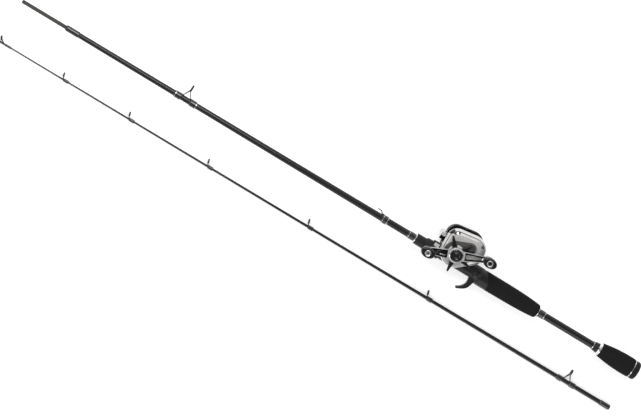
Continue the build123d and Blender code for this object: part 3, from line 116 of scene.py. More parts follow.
class NodeSheet:
    """Adds and links nodes in one shader tree."""

    def __init__(self, tree: Tree) -> None:
        """Keep the tree that nodes go into.

        Args:
            tree: Shader tree of a material, a world or a group.
        """
        self.tree = tree

    @classmethod
    def cleared(cls, owner: bpy.types.Material | bpy.types.World) -> "NodeSheet":
        """Start an empty tree on a material or a world.

        Args:
            owner: The material or the world.

        Returns:
            The sheet of its tree.
        """
        owner.use_nodes = True
        owner.node_tree.nodes.clear()
        return cls(owner.node_tree)

    def add(self, kind: str, **settings: object) -> bpy.types.Node:
        """Add one node.

        Args:
            kind: Blender's type name of the node.
            settings: Attributes to set on it.

        Returns:
            The new node.
        """
        node = self.tree.nodes.new(kind)
        for name, value in settings.items():
            setattr(node, name, value)
        return node

    def put(self, socket: Socket, value: object) -> None:
        """Link an output to a socket, or set a plain value on it.

        Args:
            socket: Input that receives the value.
            value: Output socket, number or colour.
        """
        if isinstance(value, Socket):
            self.tree.links.new(value, socket)
        elif hasattr(value, "__len__") and len(value) == 3 and socket.type == "RGBA":
            socket.default_value = (*value, 1.0)
        else:
            socket.default_value = value

    def math(self, operation: str, *values: object) -> Socket:
        """Add a Math node.

        Args:
            operation: Name of the operation.
            values: Its inputs in order.

        Returns:
            The result's socket.
        """
        node = self.add("ShaderNodeMath", operation=operation)
        for socket, value in zip(node.inputs, values):
            self.put(socket, value)
        return node.outputs[0]

    def mix(self, share: object, low: object, high: object) -> Socket:
        """Mix two colours.

        Args:
            share: Part of the second colour.
            low: Colour at a share of 0.
            high: Colour at a share of 1.

        Returns:
            The mixed colour's socket.
        """
        node = self.add("ShaderNodeMix", data_type="RGBA")
        for index, value in ((MIX_SHARE, share), (MIX_LOW, low), (MIX_HIGH, high)):
            self.put(node.inputs[index], value)
        return node.outputs[MIX_RESULT]

    def all_of(self, *masks: object) -> Socket:
        """Multiply masks.

        Args:
            masks: Output sockets, each 0 or 1.

        Returns:
            Socket that is 1 where every mask is.
        """
        result, *rest = masks
        for mask in rest:
            result = self.math("MULTIPLY", result, mask)
        return result

    def blend(self, first: object, second: object, share: float, other: float) -> Socket:
        """Add two values with weights.

        Args:
            first: First value.
            second: Second value.
            share: Weight of the first.
            other: Weight of the second.

        Returns:
            The sum's socket.
        """
        return self.math("MULTIPLY_ADD", first, share, self.math("MULTIPLY", second, other))

    def spread(self, value: object, low: float, high: float) -> Socket:
        """Map a value from 0..1 onto another range.

        Args:
            value: Output socket of the value.
            low: Result at 0.
            high: Result at 1.

        Returns:
            The mapped value's socket.
        """
        node = self.add("ShaderNodeMapRange")
        self.put(node.inputs["Value"], value)
        self.put(node.inputs["To Min"], low)
        self.put(node.inputs["To Max"], high)
        return node.outputs["Result"]

    def ease(self, value: object, start: float, end: float, first: float, last: float) -> Socket:
        """Pass smoothly from one level to another as a value rises.

        Args:
            value: The rising value.
            start: Where the change starts.
            end: Where it ends.
            first: Level before it.
            last: Level after it.

        Returns:
            The level's socket.
        """
        node = self.add("ShaderNodeMapRange", interpolation_type="SMOOTHSTEP")
        self.put(node.inputs["Value"], value)
        for name, number in (("From Min", start), ("From Max", end), ("To Min", first), ("To Max", last)):
            node.inputs[name].default_value = number
        return node.outputs["Result"]

    def bump(self, height: object, depth: float, strength: float) -> Socket:
        """Turn a height into a normal.

        Args:
            height: Output socket of the height.
            depth: Depth of the relief in metres.
            strength: Strength of the effect.

        Returns:
            The normal's socket.
        """
        node = self.add("ShaderNodeBump")
        self.put(node.inputs["Height"], height)
        node.inputs["Distance"].default_value = depth
        node.inputs["Strength"].default_value = strength
        return node.outputs["Normal"]


class SharedEffects:
    """Shader groups that more than one finish uses, each built once."""

    def __init__(self) -> None:
        """Start with no group built."""
        self.built: dict[str, Tree] = {}

    def tree(self, name: str, build: Callable[[Tree], None]) -> Tree:
        """Return a group, building it the first time.

        Args:
            name: Name of the group.
            build: Function that fills an empty group.

        Returns:
            The group's tree.
        """
        if name not in self.built:
            made = bpy.data.node_groups.new(name, "ShaderNodeTree")
            build(made)
            self.built[name] = made
        return self.built[name]

    def place(self, sheet: NodeSheet, name: str, build: Callable[[Tree], None], **values: object) -> bpy.types.Node:
        """Place a group in a material.

        Args:
            sheet: Sheet of the material.
            name: Name of the group.
            build: Function that fills it.
            values: Input values by socket name, with spaces as underscores.

        Returns:
            The group's node.
        """
        node = sheet.add("ShaderNodeGroup", node_tree=self.tree(name, build))
        for key, value in values.items():
            sheet.put(node.inputs[key.replace("_", " ")], value)
        return node

    @staticmethod
    def sockets(tree: Tree, inputs: dict[str, float], outputs: Sequence[str]) -> None:
        """Declare number sockets on a group.

        Args:
            tree: The group.
            inputs: Input names and their defaults.
            outputs: Output names.
        """
        for name, default in inputs.items():
            socket = tree.interface.new_socket(name=name, in_out="INPUT", socket_type="NodeSocketFloat")
            socket.default_value = default
        for name in outputs:
            tree.interface.new_socket(name=name, in_out="OUTPUT", socket_type="NodeSocketFloat")

    def winding(self, tree: Tree) -> None:
        """Fill the group that follows a winding round a rod.

        Args:
            tree: Empty group.
        """
        self.sockets(tree, {"Centre Y": 0.0, "Centre Z": 0.0, "Pitch": 0.001, "Starts": 1.0}, ["Wave"])
        sheet = NodeSheet(tree)
        given, result = sheet.add("NodeGroupInput"), sheet.add("NodeGroupOutput")
        place = sheet.add("ShaderNodeSeparateXYZ")
        sheet.put(place.inputs[0], sheet.add("ShaderNodeTexCoord").outputs["Object"])
        across = sheet.math("SUBTRACT", place.outputs["Y"], given.outputs["Centre Y"])
        upward = sheet.math("SUBTRACT", place.outputs["Z"], given.outputs["Centre Z"])
        turn = sheet.math("MULTIPLY", sheet.math("ARCTAN2", upward, across), given.outputs["Starts"])
        along = sheet.math("DIVIDE", place.outputs["X"], given.outputs["Pitch"])
        angle = sheet.math("ADD", sheet.math("MULTIPLY", along, math.tau), turn)
        wave = sheet.math("MULTIPLY_ADD", sheet.math("SINE", angle), 0.5, 0.5)
        sheet.put(result.inputs["Wave"], wave)

    def speckle(self, tree: Tree) -> None:
        """Fill the group that gives fine and broad unevenness.

        Args:
            tree: Empty group.
        """
        self.sockets(tree, {"Fine": 1000.0, "Broad": 30.0}, ["Grain", "Cloud"])
        sheet = NodeSheet(tree)
        given, result = sheet.add("NodeGroupInput"), sheet.add("NodeGroupOutput")
        place = sheet.add("ShaderNodeTexCoord").outputs["Object"]
        for source, target in (("Fine", "Grain"), ("Broad", "Cloud")):
            noise = sheet.add("ShaderNodeTexNoise")
            sheet.put(noise.inputs["Vector"], place)
            sheet.put(noise.inputs["Scale"], given.outputs[source])
            noise.inputs["Detail"].default_value = NOISE_DETAIL
            sheet.put(result.inputs[target], noise.outputs["Fac"])


EFFECTS = SharedEffects()


@dataclass(frozen=True)
class Bench:
    """What a finish works on: a material's sheet and shader, and its fine and broad unevenness."""

    sheet: NodeSheet
    shader: bpy.types.Node
    grain: Socket
    cloud: Socket

    def link(self, colour: Socket, rough: tuple[float, float], normal: Socket) -> None:
        """Link colour, roughness and relief to the shader.

        Args:
            colour: Output socket of the colour.
            rough: Least and greatest roughness.
            normal: Output socket of the normal.
        """
        self.sheet.put(self.shader.inputs["Base Color"], colour)
        self.sheet.put(self.shader.inputs["Roughness"], self.sheet.spread(self.cloud, *rough))
        self.sheet.put(self.shader.inputs["Normal"], normal)


@dataclass(frozen=True)
class Place:
    """Coordinates of a painted place, as output sockets of a sheet."""

    sheet: NodeSheet
    along: Socket
    across: Socket
    height: Socket

    def above(self, value: Socket, limit: object) -> Socket:
        """Return the mask where a value is above a limit."""
        return self.sheet.math("GREATER_THAN", value, limit)

    def below(self, value: Socket, limit: object) -> Socket:
        """Return the mask where a value is below a limit."""
        return self.sheet.math("LESS_THAN", value, limit)

    def within(self, centre: tuple[float, float], radius: float) -> Socket:
        """Mask a circle that is seen along Z.

        Args:
            centre: Its centre.
            radius: Its radius.

        Returns:
            The mask's socket.
        """
        aside = self.sheet.math("SUBTRACT", self.along, centre[0])
        ahead = self.sheet.math("SUBTRACT", self.across, centre[1])
        squares = [self.sheet.math("MULTIPLY", part, part) for part in (aside, ahead)]
        return self.below(self.sheet.math("ADD", *squares), radius**2)


@dataclass(frozen=True)
class Finish:
    """Base of all finishes: a name and the plain values of its shader."""

    name: str
    colour: Colour
    second: Colour
    rough: tuple[float, float]
    metallic: float = 0.0
    coat: float = 0.0
    coat_rough: float = 0.1
    specular: float = 0.5
    fine: float = 1500.0
    broad: float = 40.0
    grain_depth: float = 0.02 * MM
    grain_strength: float = 0.1

    @property
    def label(self) -> str:
        """Name of the material, apart from the names of the record's slots."""
        return "finish_" + self.name

    def material(self) -> bpy.types.Material:
        """Return the material, building it the first time."""
        return bpy.data.materials.get(self.label) or self.build()

    def build(self) -> bpy.types.Material:
        """Build the material.

        Returns:
            A new material with its nodes.
        """
        made = bpy.data.materials.new(self.label)
        sheet = NodeSheet.cleared(made)
        shader = sheet.add("ShaderNodeBsdfPrincipled")
        sheet.put(sheet.add("ShaderNodeOutputMaterial").inputs["Surface"], shader.outputs[0])
        shader.inputs["Metallic"].default_value = self.metallic
        shader.inputs["Coat Weight"].default_value = self.coat
        shader.inputs["Coat Roughness"].default_value = self.coat_rough
        shader.inputs["Specular IOR Level"].default_value = self.specular
        speckle = EFFECTS.place(sheet, "speckle", EFFECTS.speckle, Fine=self.fine, Broad=self.broad)
        self.dress(Bench(sheet, shader, speckle.outputs["Grain"], speckle.outputs["Cloud"]))
        return made

    def ground(self, bench: Bench) -> Socket:
        """Mix the two ground colours.

        Args:
            bench: What the finish works on.

        Returns:
            The colour's socket.
        """
        return bench.sheet.mix(bench.cloud, self.colour, self.second)

    def dress(self, bench: Bench) -> None:
        """Link the ground and a fine grain.

        Args:
            bench: What the finish works on.
        """
        normal = bench.sheet.bump(bench.grain, self.grain_depth, self.grain_strength)
        bench.link(self.ground(bench), self.rough, normal)


@dataclass(frozen=True)
class WoundFinish(Finish):
    """Finish whose pattern winds round a rod axis."""

    axis: Axis = Axis.BUTT
    pitch: float = 3.0 * MM
    starts: float = 4.0
    crossed: bool = True
    relief: float = 0.02 * MM
    relief_strength: float = 0.2
    tones: tuple[float, float] = (0.4, 1.4)

    def dress(self, bench: Bench) -> None:
        """Link a wound pattern to colour and relief.

        Args:
            bench: What the finish works on.
        """
        sheet, (y, z) = bench.sheet, self.axis.value
        starts = (self.starts, -self.starts) if self.crossed else (self.starts,)
        waves = [
            EFFECTS.place(
                sheet, "winding", EFFECTS.winding, Centre_Y=y, Centre_Z=z, Pitch=self.pitch, Starts=count
            ).outputs["Wave"]
            for count in starts
        ]
        pattern = sheet.all_of(*waves)
        tone = sheet.math("MULTIPLY", pattern, sheet.spread(bench.cloud, *self.tones))
        height = sheet.math("ADD", pattern, sheet.math("MULTIPLY", bench.grain, self.grain_strength))
        normal = sheet.bump(height, self.relief, self.relief_strength)
        bench.link(sheet.mix(tone, self.colour, self.second), self.rough, normal)


@dataclass(frozen=True)
class FoamFinish(Finish):
    """Closed-cell foam with open pores on its skin."""

    pore_scale: float = 900.0
    pore_depth: float = 0.15 * MM
    pore_range: tuple[float, float] = (0.5, 1.5)

    def dress(self, bench: Bench) -> None:
        """Link pores to colour and relief.

        Args:
            bench: What the finish works on.
        """
        sheet = bench.sheet
        cells = sheet.add("ShaderNodeTexVoronoi")
        sheet.put(cells.inputs["Vector"], sheet.add("ShaderNodeTexCoord").outputs["Object"])
        cells.inputs["Scale"].default_value = self.pore_scale
        pores = sheet.math("MULTIPLY", cells.outputs["Distance"], sheet.spread(bench.grain, *self.pore_range))
        normal = sheet.bump(pores, self.pore_depth, self.grain_strength)
        bench.link(sheet.mix(pores, self.colour, self.second), self.rough, normal)


@dataclass(frozen=True)
class PaintedFinish(Finish):
    """Finish with further paints laid on by place."""

    dark: Colour = (0.004, 0.004, 0.0045)

    def paints(self, place: Place) -> list[Paint]:
        """List the further paints, undermost first.

        Args:
            place: Coordinates of the place.

        Returns:
            A mask and a colour for each paint.
        """
        raise NotImplementedError

    def ground(self, bench: Bench) -> Socket:
        """Lay the further paints over the ground colours.

        Args:
            bench: What the finish works on.

        Returns:
            The colour's socket.
        """
        sheet = bench.sheet
        split = sheet.add("ShaderNodeSeparateXYZ")
        sheet.put(split.inputs[0], sheet.add("ShaderNodeTexCoord").outputs["Object"])
        paint = super().ground(bench)
        for mask, colour in self.paints(Place(sheet, *(split.outputs[name] for name in "XYZ"))):
            paint = sheet.mix(mask, paint, colour)
        return paint


@dataclass(frozen=True)
class PlateFinish(PaintedFinish):
    """Silver plate with a grey raised boss, and with painted shade on its front corner, towards its rear end and in
    the holes round its screws and oil port.
    """

    split: float = 29.8 * MM
    boss: Colour = (0.14, 0.137, 0.134)
    corner_up: tuple[float, float] = (-0.516, 0.857)
    boss_low: float = -316.0 * MM
    shaded_corner_low: float = -287.6 * MM
    shaded_corner_along: tuple[float, float] = (0.857, 0.516)
    shaded_corner_end: float = 554.0 * MM
    shaded_corner_floor: float = 18.8 * MM
    shaded_corner_top: float = 27.6 * MM
    shaded_bores: tuple[Point, ...] = (
        (622.07 * MM, 40.17 * MM, 2.35 * MM),
        (666.5 * MM, 43.05 * MM, 2.35 * MM),
        (627.4 * MM, 43.5 * MM, 1.6 * MM),
    )
    shade: Colour = (0.17, 0.168, 0.166)
    shade_start: float = 661.0 * MM
    shade_end: float = 674.0 * MM
    shade_share: float = 0.8

    def paints(self, place: Place) -> list[Paint]:
        """Paint shade towards the rear end, paint the boss grey, and paint shade dark on the front corner and in the
        holes round the screws and the oil port.

        Args:
            place: Coordinates of the place.

        Returns:
            A mask and a colour for each paint.
        """
        sheet = place.sheet
        upward = sheet.blend(place.along, place.across, *self.corner_up)
        onward = sheet.blend(place.along, place.across, *self.shaded_corner_along)
        boss = sheet.all_of(place.above(place.height, self.split), place.above(upward, self.boss_low))
        # painted shade: the plate's front corner is painted dark, as if in the shade of the frame's front opening
        corner = sheet.all_of(
            place.above(upward, self.shaded_corner_low),
            place.below(onward, self.shaded_corner_end),
            place.above(place.height, self.shaded_corner_floor),
            place.below(place.height, self.shaded_corner_top),
        )
        # painted shade: the plate darkens towards its rear end, standing in for a dark reflection there
        rear_shade_mask = sheet.ease(place.along, self.shade_start, self.shade_end, 0.0, self.shade_share)
        paints = [(rear_shade_mask, self.shade), (boss, self.boss), (corner, self.dark)]
        # painted shade: the holes round two screws and the oil port are painted dark
        return paints + [(place.within((x, y), radius), self.dark) for x, y, radius in self.shaded_bores]


@dataclass(frozen=True)
class BayFinish(PaintedFinish):
    """Finish of the reel's frame: bright outside, with painted shade in the spool bay and along the far rim."""

    near_wall: float = 12.9 * MM
    far_wall: float = -13.05 * MM
    bay_floor: float = 14.0 * MM
    rim_start: float = 621.0 * MM
    lip_centre: tuple[float, float] = (630.5 * MM, 32.5 * MM)
    lip_radius: float = 13.8 * MM

    def paints(self, place: Place) -> list[Paint]:
        """Paint shade into the spool bay.

        Args:
            place: Coordinates of the place.

        Returns:
            The mask of the bay's painted shade and its colour.
        """
        sheet = place.sheet
        # painted shade: the inner faces round the spool bay and the far rim are painted dark
        in_lip = place.within(self.lip_centre, self.lip_radius)
        window = sheet.math("MAXIMUM", in_lip, place.below(place.across, self.lip_centre[1]))
        inner = sheet.all_of(window, place.above(place.height, self.far_wall))
        painted = sheet.math("MAXIMUM", inner, place.above(place.along, self.rim_start))
        upper = place.above(place.across, self.bay_floor)
        return [(sheet.all_of(painted, upper, place.below(place.height, self.near_wall)), self.dark)]


@dataclass(frozen=True)
class RailFinish(PaintedFinish):
    """Finish of the handle: bright hub and edges, dark rails."""

    hub: tuple[float, float] = (638.0 * MM, 15.5 * MM)
    angle: float = 21.5
    rail_start: float = 12.6 * MM
    half_width: float = 7.9 * MM
    taper: float = 0.078
    bright_edge: float = 1.0 * MM

    def paints(self, place: Place) -> list[Paint]:
        """Paint the rails dark.

        Args:
            place: Coordinates of the place.

        Returns:
            The rails' mask and their colour.
        """
        sheet, turn = place.sheet, math.radians(self.angle)
        x = sheet.math("SUBTRACT", place.along, self.hub[0])
        y = sheet.math("SUBTRACT", place.across, self.hub[1])
        outward = sheet.math("ABSOLUTE", sheet.blend(x, y, math.cos(turn), math.sin(turn)))
        aside = sheet.math("ABSOLUTE", sheet.blend(x, y, -math.sin(turn), math.cos(turn)))
        limit = sheet.math("MULTIPLY_ADD", outward, -self.taper, self.half_width - self.bright_edge)
        return [(sheet.all_of(place.above(outward, self.rail_start), place.below(aside, limit)), self.dark)]


@dataclass(frozen=True)
class InlayFinish(PaintedFinish):
    """Dark moulding with one bright inlay."""

    inlay: Colour = (0.5, 0.5, 0.5)
    low: Point = (608.2 * MM, 6.0 * MM, 0.0)
    high: Point = (616.2 * MM, 10.8 * MM, 20.0 * MM)

    def paints(self, place: Place) -> list[Paint]:
        """Paint the inlay.

        Args:
            place: Coordinates of the place.

        Returns:
            The inlay's mask and its colour.
        """
        limits = []
        for value, low, high in zip((place.along, place.across, place.height), self.low, self.high):
            limits += [place.above(value, low), place.below(value, high)]
        return [(place.sheet.all_of(*limits), self.inlay)]


GRAPHITE = dict(
    colour=(0.005, 0.005, 0.0055),
    second=(0.02, 0.02, 0.021),
    rough=(0.3, 0.42),
    coat=0.5,
    coat_rough=0.05,
    specular=0.12,
    pitch=5.0 * MM,
    starts=3.0,
)
SILVER = dict(
    colour=(0.60, 0.59, 0.58),
    second=(0.70, 0.69, 0.68),
    rough=(0.24, 0.32),
    metallic=0.55,
    grain_strength=0.04,
)
MOULDING = dict(
    colour=(0.007, 0.007, 0.0075),
    second=(0.013, 0.013, 0.0135),
    rough=(0.3, 0.42),
    specular=0.3,
    grain_strength=0.2,
)
THREAD = dict(
    colour=(0.004, 0.004, 0.0045),
    second=(0.012, 0.012, 0.013),
    rough=(0.2, 0.3),
    coat=1.0,
    coat_rough=0.03,
    specular=0.25,
    pitch=0.5 * MM,
    starts=1.0,
    crossed=False,
)


@dataclass(frozen=True)
class Palette:
    """Every finish of the rod and reel."""

    butt_graphite: Finish = WoundFinish(name="butt_graphite", axis=Axis.BUTT, **GRAPHITE)
    tip_graphite: Finish = WoundFinish(name="tip_graphite", axis=Axis.TIP, **GRAPHITE)
    butt_thread: Finish = WoundFinish(name="butt_thread", axis=Axis.BUTT, **THREAD)
    tip_thread: Finish = WoundFinish(name="tip_thread", axis=Axis.TIP, **THREAD)
    bare_spigot: Finish = Finish(
        "bare_spigot", (0.04, 0.037, 0.034), (0.065, 0.06, 0.055), (0.5, 0.62), specular=0.3
    )
    guide_wire: Finish = Finish("guide_wire", (0.025, 0.025, 0.027), (0.06, 0.06, 0.063), (0.22, 0.34), metallic=0.9)
    guide_ceramic: Finish = Finish(
        "guide_ceramic", (0.012, 0.012, 0.013), (0.025, 0.025, 0.026), (0.08, 0.14), coat=0.3
    )
    seat_moulding: Finish = Finish("seat_moulding", **MOULDING)
    butt_rubber: Finish = Finish(
        "butt_rubber", (0.007, 0.007, 0.0075), (0.012, 0.012, 0.0125), (0.55, 0.68), specular=0.2, grain_strength=0.3
    )
    foam: Finish = FoamFinish(
        "grip_foam",
        (0.007, 0.007, 0.0074),
        (0.016, 0.016, 0.0165),
        (0.75, 0.9),
        specular=0.08,
        fine=500.0,
        grain_strength=0.6,
    )
    bright_trim: Finish = Finish(
        "bright_trim", (0.72, 0.72, 0.73), (0.82, 0.82, 0.83), (0.12, 0.22), metallic=1.0, grain_strength=0.03
    )
    reel_silver: Finish = Finish("reel_silver", **SILVER)
    frame_silver: Finish = BayFinish("frame_silver", **SILVER)
    plate_silver: Finish = PlateFinish("plate_silver", **SILVER)
    hood_moulding: Finish = InlayFinish("hood_moulding", **MOULDING)
    handle_alloy: Finish = RailFinish(
        "handle_alloy", (0.66, 0.66, 0.66), (0.78, 0.78, 0.78), (0.1, 0.18), metallic=0.7, grain_strength=0.04
    )
    white_alloy: Finish = Finish(
        "white_alloy", (0.86, 0.86, 0.86), (0.92, 0.92, 0.92), (0.16, 0.24), metallic=0.2, grain_strength=0.04
    )
    satin_black: Finish = Finish(
        "satin_black", (0.004, 0.004, 0.0045), (0.009, 0.009, 0.0095), (0.2, 0.3), specular=0.3, grain_strength=0.1
    )
    gloss_black: Finish = Finish(
        "gloss_black", (0.004, 0.004, 0.0045), (0.008, 0.008, 0.0085), (0.06, 0.12), specular=0.45, grain_strength=0.03
    )
    dark_chrome: Finish = Finish(
        "dark_chrome", (0.14, 0.14, 0.142), (0.22, 0.22, 0.222), (0.07, 0.12), metallic=1.0, grain_strength=0.03
    )
    turned_steel: Finish = Finish("turned_steel", (0.42, 0.42, 0.43), (0.58, 0.58, 0.59), (0.2, 0.32), metallic=1.0)
    cut_brass: Finish = Finish("cut_brass", (0.60, 0.43, 0.17), (0.74, 0.56, 0.26), (0.24, 0.36), metallic=1.0)


PALETTE = Palette()


def dress_nodes(finish: Finish, *names: str) -> None:
    """Give CAD nodes one finish.

    Args:
        finish: The finish.
        names: Node names.
    """
    for name in names:
        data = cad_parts[name].data
        data.materials.clear()
        data.materials.append(finish.material())
        LOG.info("dressed %s with %s", name, finish.name)


def welded(name: str) -> Mesh:
    """Copy a CAD node's mesh with its points welded.

    Args:
        name: Node name.

    Returns:
        The copy.
    """
    mesh = bmesh.new()
    mesh.from_mesh(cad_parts[name].data)
    bmesh.ops.remove_doubles(mesh, verts=mesh.verts, dist=WELD)
    return mesh


def corners(name: str) -> list[Vector]:
    """Return the points of a CAD node's mesh."""
    return [vert.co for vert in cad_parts[name].data.vertices]


def islands(name: str) -> list[list[Vector]]:
    """Split a CAD node into its separate solids.

    Args:
        name: Node name.

    Returns:
        The points of each solid.
    """
    mesh = welded(name)
    left, found = set(mesh.verts), []
    while left:
        front, member = [next(iter(left))], set()
        while front:
            vert = front.pop()
            if vert in member:
                continue
            member.add(vert)
            front.extend(edge.other_vert(vert) for edge in vert.link_edges)
        left -= member
        found.append([vert.co.copy() for vert in member])
    mesh.free()
    return sorted(found, key=lambda points: min(point.x for point in points))


def spin(mesh: Mesh, places: Sequence[Point], closed: bool, centre: Point, axis: Point, steps: int) -> None:
    """Turn a line of corners once round an axis.

    Args:
        mesh: Mesh that receives the surface.
        places: The corners.
        closed: Whether the last corner joins the first.
        centre: Point on the axis.
        axis: Direction of the axis.
        steps: Number of steps in the turn.
    """
    verts = [mesh.verts.new(place) for place in places]
    pairs = list(zip(verts, verts[1:])) + ([(verts[-1], verts[0])] if closed else [])
    edges = [mesh.edges.new(pair) for pair in pairs]
    bmesh.ops.spin(
        mesh,
        geom=verts + edges,
        cent=centre,
        axis=axis,
        angle=math.tau,
        steps=steps,
        use_merge=True,
        use_duplicate=False,
    )


@dataclass
class Lathe:
    """Turns outlines round an axis that runs along X."""

    axis: Axis
    steps: int = 48

    def radius(self, point: Vector) -> float:
        """Return a point's distance from the axis."""
        y, z = self.axis.value
        return math.hypot(point.y - y, point.z - z)

    def turn(self, mesh: Mesh, outline: Outline) -> None:
        """Turn a closed outline into a ring.

        Args:
            mesh: Mesh that receives it.
            outline: (along, radius) corners in metres.
        """
        y, z = self.axis.value
        places = [(along, y + radius, z) for along, radius in outline]
        spin(mesh, places, True, (0.0, y, z), (1.0, 0.0, 0.0), self.steps)


@dataclass
class Spindle:
    """Turns outlines round an axis that runs along Z."""

    centre: tuple[float, float]
    steps: int = 64

    def turn(self, mesh: Mesh, outline: Outline, closed: bool = False) -> None:
        """Turn an outline into a solid.

        Args:
            mesh: Mesh that receives it.
            outline: (radius, height) corners in metres; an open outline starts and ends on the axis.
            closed: Whether the last corner joins the first.
        """
        x, y = self.centre
        places = [(x + radius, y, height) for radius, height in outline]
        spin(mesh, places, closed, (x, y, 0.0), (0.0, 0.0, 1.0), self.steps)


def finished_piece(name: str, mesh: Mesh, finish: Finish, body: Body) -> bpy.types.Object:
    """Turn a bmesh into a piece that rides on a body.

    Args:
        name: Name of the piece.
        mesh: Its mesh, which is freed.
        finish: Its finish.
        body: Body that it rides on.

    Returns:
        The new object.
    """
    bmesh.ops.remove_doubles(mesh, verts=mesh.verts, dist=PIECE_WELD)
    bmesh.ops.recalc_face_normals(mesh, faces=mesh.faces)
    for face in mesh.faces:
        face.smooth = True
    for edge in mesh.edges:
        edge.smooth = edge.calc_face_angle(0.0) < SHARP_ANGLE
    data = bpy.data.meshes.new(name)
    mesh.to_mesh(data)
    mesh.free()
    data.materials.append(finish.material())
    piece = bpy.data.objects.new(name, data)
    bpy.context.scene.collection.objects.link(piece)
    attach(piece, body.value)
    LOG.info("made %s with %d faces", name, len(data.polygons))
    return piece


def add_block(mesh: Mesh, size: Point, centre: Point | Vector) -> None:
    """Add a rectangular block to a mesh.

    Args:
        mesh: Mesh that receives it.
        size: Its three sizes.
        centre: Its middle.
    """
    cube = bmesh.ops.create_cube(mesh, size=1.0)
    bmesh.ops.scale(mesh, verts=cube["verts"], vec=size)
    bmesh.ops.translate(mesh, verts=cube["verts"], vec=centre)


@dataclass(frozen=True)
class TrimPlace:
    """Where one bright ring stands: a solid of a wrap, counted from the tip, and one of its ends."""

    wrap: str
    solid: int
    end: End


@dataclass
class TrimLines:
    """Thin bright rings that end some of the thread wraps."""

    axis: Axis
    body: Body
    places: tuple[TrimPlace, ...]
    name: str
    width: float = 0.7 * MM
    rise: float = 0.08 * MM
    slope: float = 1.6 * MM
    steps: int = 40

    def build(self) -> bpy.types.Object:
        """Build all rings as one piece.

        Returns:
            The piece.
        """
        lathe = Lathe(self.axis, self.steps)
        mesh = bmesh.new()
        for place in self.places:
            points = islands(place.wrap)[place.solid]
            start, end = min(p.x for p in points), max(p.x for p in points)
            middle = (start + end) / 2
            if place.end is End.FRONT:
                crest = max(lathe.radius(p) for p in points if p.x < middle)
                self.ring(mesh, lathe, start + self.slope, crest)
            else:
                crest = max(lathe.radius(p) for p in points if p.x > middle)
                self.ring(mesh, lathe, end - self.slope - self.width, crest)
        return finished_piece(self.name, mesh, PALETTE.bright_trim, self.body)

    def ring(self, mesh: Mesh, lathe: Lathe, start: float, crest: float) -> None:
        """Add one ring.

        Args:
            mesh: Mesh that receives it.
            lathe: Lathe of its axis.
            start: Where it starts along the rod.
            crest: Radius of the wrap under it.
        """
        low, high = crest - 2 * self.rise, crest + self.rise
        end, lean = start + self.width, self.rise
        lathe.turn(mesh, [(start, low), (start + lean, high), (end - lean, high), (end, low)])


@dataclass
class FoamGrip:
    """Foam grip that follows the outline of its CAD solid, with rounded lips."""

    node: str
    bins: int
    lip: float = 0.5 * MM
    wall: float = 1.0 * MM
    steps: int = 96
    lathe: Lathe = field(init=False)

    def __post_init__(self) -> None:
        """Make the lathe for the butt section's axis."""
        self.lathe = Lathe(Axis.BUTT, self.steps)

    def outline(self) -> list[tuple[float, float]]:
        """Read the solid's outline from the frame.

        Returns:
            Closed (along, radius) corners, outside first.
        """
        low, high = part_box(self.node)
        points = corners(self.node)
        bore = min(self.lathe.radius(p) for p in points)
        width = (high.x - low.x) / self.bins
        outside = []
        for index in range(self.bins):
            start = low.x + index * width
            inside = [p for p in points if start <= p.x <= start + width and self.lathe.radius(p) > bore + self.wall]
            if inside:
                top = max(inside, key=self.lathe.radius)
                outside.append((top.x, self.lathe.radius(top)))
        rear = max(self.lathe.radius(p) for p in points if p.x > high.x - self.lip / 10)
        outside = [(low.x, outside[0][1] - self.lip), (low.x + self.lip, outside[0][1])] + outside[1:]
        outside = [corner for corner in outside if corner[0] < high.x - self.lip]
        return outside + [(high.x, rear - self.lip / 2), (high.x, bore), (low.x, bore)]

    def shape(self, mesh: Mesh) -> None:
        """Shape the turned mesh further; a plain grip stays as turned."""

    def build(self) -> bpy.types.Object:
        """Build the grip.

        Returns:
            The piece.
        """
        mesh = bmesh.new()
        self.lathe.turn(mesh, self.outline())
        self.shape(mesh)
        piece = finished_piece(self.node + "_foam", mesh, PALETTE.foam, Body.BUTT)
        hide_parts(self.node)
        return piece


@dataclass
class JoinedGrip(FoamGrip):
    """Foam grip whose front follows the curved join with the reel seat."""

    blend: float = 30.0 * MM
    step: float = 1.0 * MM
    deep: float = 4.0 * MM

    def join(self) -> list[tuple[float, float]]:
        """Read the join's outer edge from the frame.

        Returns:
            (across, along) points of the edge, from its lower end to its upper end.
        """
        points = corners(self.node)
        crest = max(self.lathe.radius(p) for p in points)
        edge: dict[int, Vector] = {}
        for point in points:
            key = round(point.y / self.step)
            outer = self.lathe.radius(point) > crest - self.deep
            if outer and (key not in edge or point.x < edge[key].x):
                edge[key] = point
        return sorted((point.y, point.x) for point in edge.values())

    def shape(self, mesh: Mesh) -> None:
        """Move the front of the turned mesh onto the join.

        Args:
            mesh: Turned mesh whose flat front lies at the join's foremost point.
        """
        edge = self.join()
        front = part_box(self.node)[0].x
        for vert in mesh.verts:
            after = next((i for i, (across, _) in enumerate(edge) if across > vert.co.y), len(edge) - 1)
            (y0, x0), (y1, x1) = edge[max(after - 1, 0)], edge[after]
            share = min(max((vert.co.y - y0) / (y1 - y0), 0.0), 1.0) if y1 > y0 else 0.0
            fade = max(0.0, 1.0 - (vert.co.x - front) / self.blend)
            vert.co.x += (x0 + (x1 - x0) * share - front) * fade


